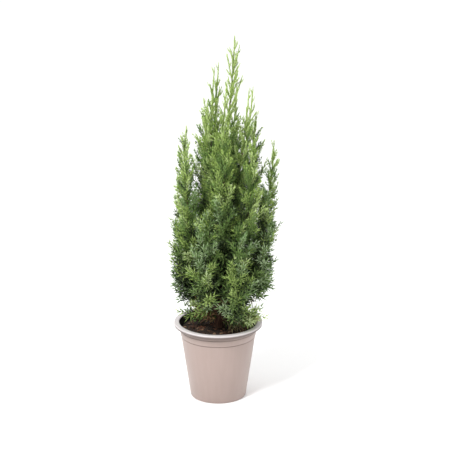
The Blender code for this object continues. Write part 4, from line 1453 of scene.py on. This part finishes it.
def limb_rings(twigs, shares, radii, sides):
    """Rings along every twig at the given shares, with radii from foot to tip."""
    rings = []
    for share in shares:
        part = np.full(len(twigs["length"]), share)
        middle, along = point_on(twigs, part), direction_on(twigs, part)
        side = unit(np.cross(along, UP + 0.01))
        up = np.cross(along, side)
        turns = np.arange(sides) * math.tau / sides
        out = side[:, None] * np.cos(turns)[None, :, None] + up[:, None] * np.sin(turns)[None, :, None]
        rings.append(middle[:, None] + out * mix(radii, share))
    return np.stack(rings, axis=1)


SHOOT_RADII = (0.00085, 0.00035)
TWIG_RADII = (0.00050, 0.00022)
for tier in tier_names:
    number_set = [number_of[name] for name in masses_of[tier]]
    big = picked(shoots, np.isin(shoots["owner"], number_set))
    small = picked(twigs, np.isin(twigs["owner"], number_set))
    mesh = rings_mesh(f"shoots_{tier}", limb_rings(big, (0.0, 0.35, 0.7, 1.0), SHOOT_RADII, 4))
    link_piece(f"shoots_{tier}", mesh, [green_twig], masses_of[tier])
    mesh = rings_mesh(f"side_twigs_{tier}", limb_rings(small, (0.0, 1.0), TWIG_RADII, 3))
    link_piece(f"side_twigs_{tier}", mesh, [green_twig], masses_of[tier])

# %% The plumes' own stems
BROWN_PART = {"skirt": 0.75, "low": 0.80, "mid": 0.72, "upper": 0.60, "leader": 0.35}
STEM_ROWS = 22
STEM_POINT = 0.75


def stem_tubes(tier, first, last):
    """One mesh of the tier's stems between two shares of their length."""
    vertices, faces = [], []
    for name in masses_of[tier]:
        plume = plumes[number_of[name]]
        ends = [mix((plume.foot_share, STEM_TIP), share) for share in (first, last)]
        places = [mix((first, last), row / STEM_ROWS) for row in range(STEM_ROWS + 1)]
        radii = [mix(STEM_RADII, place) * (1.0 - STEM_POINT * place**9) for place in places]
        points, more = tube(plume.line(*ends, STEM_ROWS + 1), radii, 6)
        faces += [tuple(v + len(vertices) for v in face) for face in more]
        vertices += points
    mesh = bpy.data.meshes.new("stems")
    mesh.from_pydata([tuple(v) for v in vertices], [], faces)
    mesh.shade_smooth()
    return mesh


for tier in tier_names:
    part = BROWN_PART[tier]
    link_piece(f"woody_stems_{tier}", stem_tubes(tier, 0.0, part), [woody_twig], masses_of[tier])
    link_piece(f"green_stems_{tier}", stem_tubes(tier, part, 1.0), [green_twig], masses_of[tier])

# %% [markdown]
# ## Bark
# The trunk and the boughs have thin reddish bark that splits into long upright strips and peels in
# shreds. Their tapering tubes could carry that as bump alone, but the outline would stay smooth, so
# the relief goes into the mesh, finer and flatter towards the tips.

# %% Limbs with a relief
BARK_SIDES = 26
BARK_ROW = 0.0014
BARK_DEPTH = 0.12
FLARE_LOBES = 5
FLARE_LOBE_DEPTH = 0.22


def bark_relief(turn, run, seed):
    """Long ridges round a limb: the noise runs fast across the limb and slowly along it."""
    place = Vector((math.cos(turn) * 2.3, math.sin(turn) * 2.3, run * 45.0 + seed))
    fine = Vector((math.cos(turn) * 5.1, math.sin(turn) * 5.1, run * 130.0 - seed))
    return 0.7 * noise.noise(place) + 0.3 * noise.noise(fine)


def barked_tube(points, radii, sides, seed, flared=False):
    """A closed limb through the points, with bark relief on every ring."""
    rings = rings_along(points, radii, sides)
    run = 0.0
    for row, (point, ring) in enumerate(zip(points, rings)):
        run += (point - points[max(row - 1, 0)]).length
        for side in range(sides):
            turn = math.tau * side / sides
            swell = 1.0 + BARK_DEPTH * bark_relief(turn, run, seed)
            if flared:
                lobe = math.cos(FLARE_LOBES * turn + 1.0) + 0.5 * math.cos(3 * turn)
                swell += FLARE_LOBE_DEPTH * lobe * math.exp(-run / FLARE_HEIGHT)
            ring[side] = point + (ring[side] - point) * swell
    vertices = [tuple(place) for ring in rings for place in ring]
    faces = []
    for row in range(len(rings) - 1):
        for side in range(sides):
            a, b = row * sides + side, row * sides + (side + 1) % sides
            faces.append((a, b, b + sides, a + sides))
    faces.append(tuple(range(sides))[::-1])
    faces.append(tuple(range(len(vertices) - sides, len(vertices))))
    return vertices, faces


bark = mottled_material(
    "bark", (0.030, 0.014, 0.008), (0.150, 0.070, 0.040), 330.0, (1.0, 1.0, 0.16), 0.85, 0.0005
)
rows = round(TRUNK_TOP / BARK_ROW)
heights = [CLEARANCE + (TRUNK_TOP - CLEARANCE) * row / rows for row in range(rows + 1)]
spine = [trunk_point(height) for height in heights]
vertices, faces = barked_tube(spine, [trunk_radius(h) for h in heights], BARK_SIDES, 1.0, flared=True)
mesh = bpy.data.meshes.new("bark_trunk")
mesh.from_pydata(vertices, [], faces)
mesh.shade_smooth()
link_piece("bark_trunk", mesh, [bark], ["trunk"])

# %% The boughs
vertices, faces = [], []
for number, (points, radii) in enumerate(bough_lines.values()):
    fine_points, fine_radii = [], []
    for a, b, wide, slim in zip(points, points[1:], radii, radii[1:]):
        steps = max(round((b - a).length / BARK_ROW), 1)
        fine_points += [a.lerp(b, step / steps) for step in range(steps)]
        fine_radii += [mix((wide, slim), step / steps) for step in range(steps)]
    fine_points.append(points[-1])
    fine_radii.append(radii[-1])
    more, sides = barked_tube(fine_points, fine_radii, BARK_SIDES // 2, 10.0 + number)
    faces += [tuple(v + len(vertices) for v in face) for face in sides]
    vertices += more
mesh = bpy.data.meshes.new("bark_boughs")
mesh.from_pydata(vertices, [], faces)
mesh.shade_smooth()
link_piece("bark_boughs", mesh, [bark], [f"bough_{name}" for name in bough_lines])

# %% Shreds that peel off the trunk
SHREDS = 80
SHRED_LENGTH = (0.006, 0.015)
SHRED_WIDTH = (0.0006, 0.0013)
SHRED_THICKNESS = 0.00014
SHRED_ROWS = 5
rng = random.Random(SEED + 5)
vertices, faces = [], []
for _ in range(SHREDS):
    height = rng.uniform(0.004, 0.16)
    turn = rng.uniform(0.0, math.tau)
    length = rng.uniform(*SHRED_LENGTH)
    width = rng.uniform(*SHRED_WIDTH)
    lift = rng.uniform(0.0004, 0.0022) * rng.choice((-1.0, 1.0))
    for row in range(SHRED_ROWS):
        share = row / (SHRED_ROWS - 1)
        up = height + length * share
        peel = abs(lift) * (share**2 if lift > 0 else (1.0 - share) ** 2)
        out = Vector((math.cos(turn), math.sin(turn), 0.0))
        across = Vector((-out.y, out.x, 0.0)) * width * (1.0 - 0.6 * share) / 2
        skin = trunk_point(up) + out * (trunk_radius(up) * 1.02 + peel)
        inner = skin - out * SHRED_THICKNESS
        vertices += [tuple(p) for p in (inner - across, inner + across, skin + across, skin - across)]
    base = len(vertices) - 4 * SHRED_ROWS
    for row in range(SHRED_ROWS - 1):
        for side in range(4):
            a, b = base + 4 * row + side, base + 4 * row + (side + 1) % 4
            faces.append((a, b, b + 4, a + 4))
    faces.append((base + 3, base + 2, base + 1, base))
    faces.append(tuple(base + 4 * (SHRED_ROWS - 1) + side for side in range(4)))
mesh = bpy.data.meshes.new("bark_shreds")
mesh.from_pydata(vertices, [], faces)
mesh.shade_smooth()
link_piece("bark_shreds", mesh, [bark], ["trunk"])

# %% [markdown]
# ## Camera, light and floor
# The photograph looks down at the plant by about 17 degrees through a long lens, in soft, bright
# light from above and in front, on white. So the floor is white and the world is bright, and two
# large lamps only shape it.

# %% Camera
AIM = Vector((0.010, 0.0, 0.262))
DISTANCE = 2.2
ELEVATION = math.radians(17.0)
camera_data = bpy.data.cameras.new("camera")
camera_data.lens = 122.0
camera_data.sensor_width = 36.0
camera = bpy.data.objects.new("camera", camera_data)
scene.collection.objects.link(camera)
camera.location = AIM + Vector((0.0, -math.cos(ELEVATION), math.sin(ELEVATION))) * DISTANCE
camera.rotation_euler = (math.pi / 2 - ELEVATION, 0.0, 0.0)
scene.camera = camera
print("camera at", [round(v, 3) for v in camera.location])

# %% Floor and light
bpy.ops.object.select_all(action="DESELECT")
bpy.ops.mesh.primitive_plane_add(size=60.0)
floor = bpy.context.active_object
floor.name = "floor"
floor.data.materials.append(plain_material("floor_white", (0.98, 0.98, 0.98), 0.85))
floor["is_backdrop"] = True


def area_light(name, place, size, power):
    data = bpy.data.lights.new(name, "AREA")
    data.energy = power
    data.size = size
    light = bpy.data.objects.new(name, data)
    scene.collection.objects.link(light)
    light.location = place
    light.rotation_euler = (AIM - Vector(place)).to_track_quat("-Z", "Y").to_euler()
    return light


sky_data = bpy.data.lights.new("overhead", "SUN")
sky_data.energy = 1.7
sky_data.angle = math.radians(100.0)
overhead = bpy.data.objects.new("overhead", sky_data)
scene.collection.objects.link(overhead)
overhead.rotation_euler = (math.radians(-20.0), 0.0, 0.0)
area_light("key", (-1.1, -1.6, 2.4), 0.7, 72.0)
area_light("fill", (1.8, -1.2, 1.3), 1.8, 8.0)
world = bpy.data.worlds.new("studio")
world.use_nodes = True
backdrop = world.node_tree.nodes["Background"]
backdrop.inputs["Color"].default_value = (1.0, 1.0, 1.0, 1.0)
seen = world.node_tree.nodes.new("ShaderNodeLightPath")
brighter = world.node_tree.nodes.new("ShaderNodeMath")
brighter.operation = "MULTIPLY_ADD"
brighter.inputs[1].default_value = 0.49
brighter.inputs[2].default_value = 0.5
world.node_tree.links.new(seen.outputs["Is Camera Ray"], brighter.inputs[0])
world.node_tree.links.new(brighter.outputs["Value"], backdrop.inputs["Strength"])
scene.world = world
scene.view_settings.view_transform = "Standard"

# %% [markdown]
# ## Finish
# The visual model's box is printed, as the CAD's box was at the start, so that the two can be compared.

# %% Print the visual box and finish
visual_box = [list(corner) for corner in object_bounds()]
print("visual box in mm:", [[round(1000 * v, 1) for v in corner] for corner in visual_box])
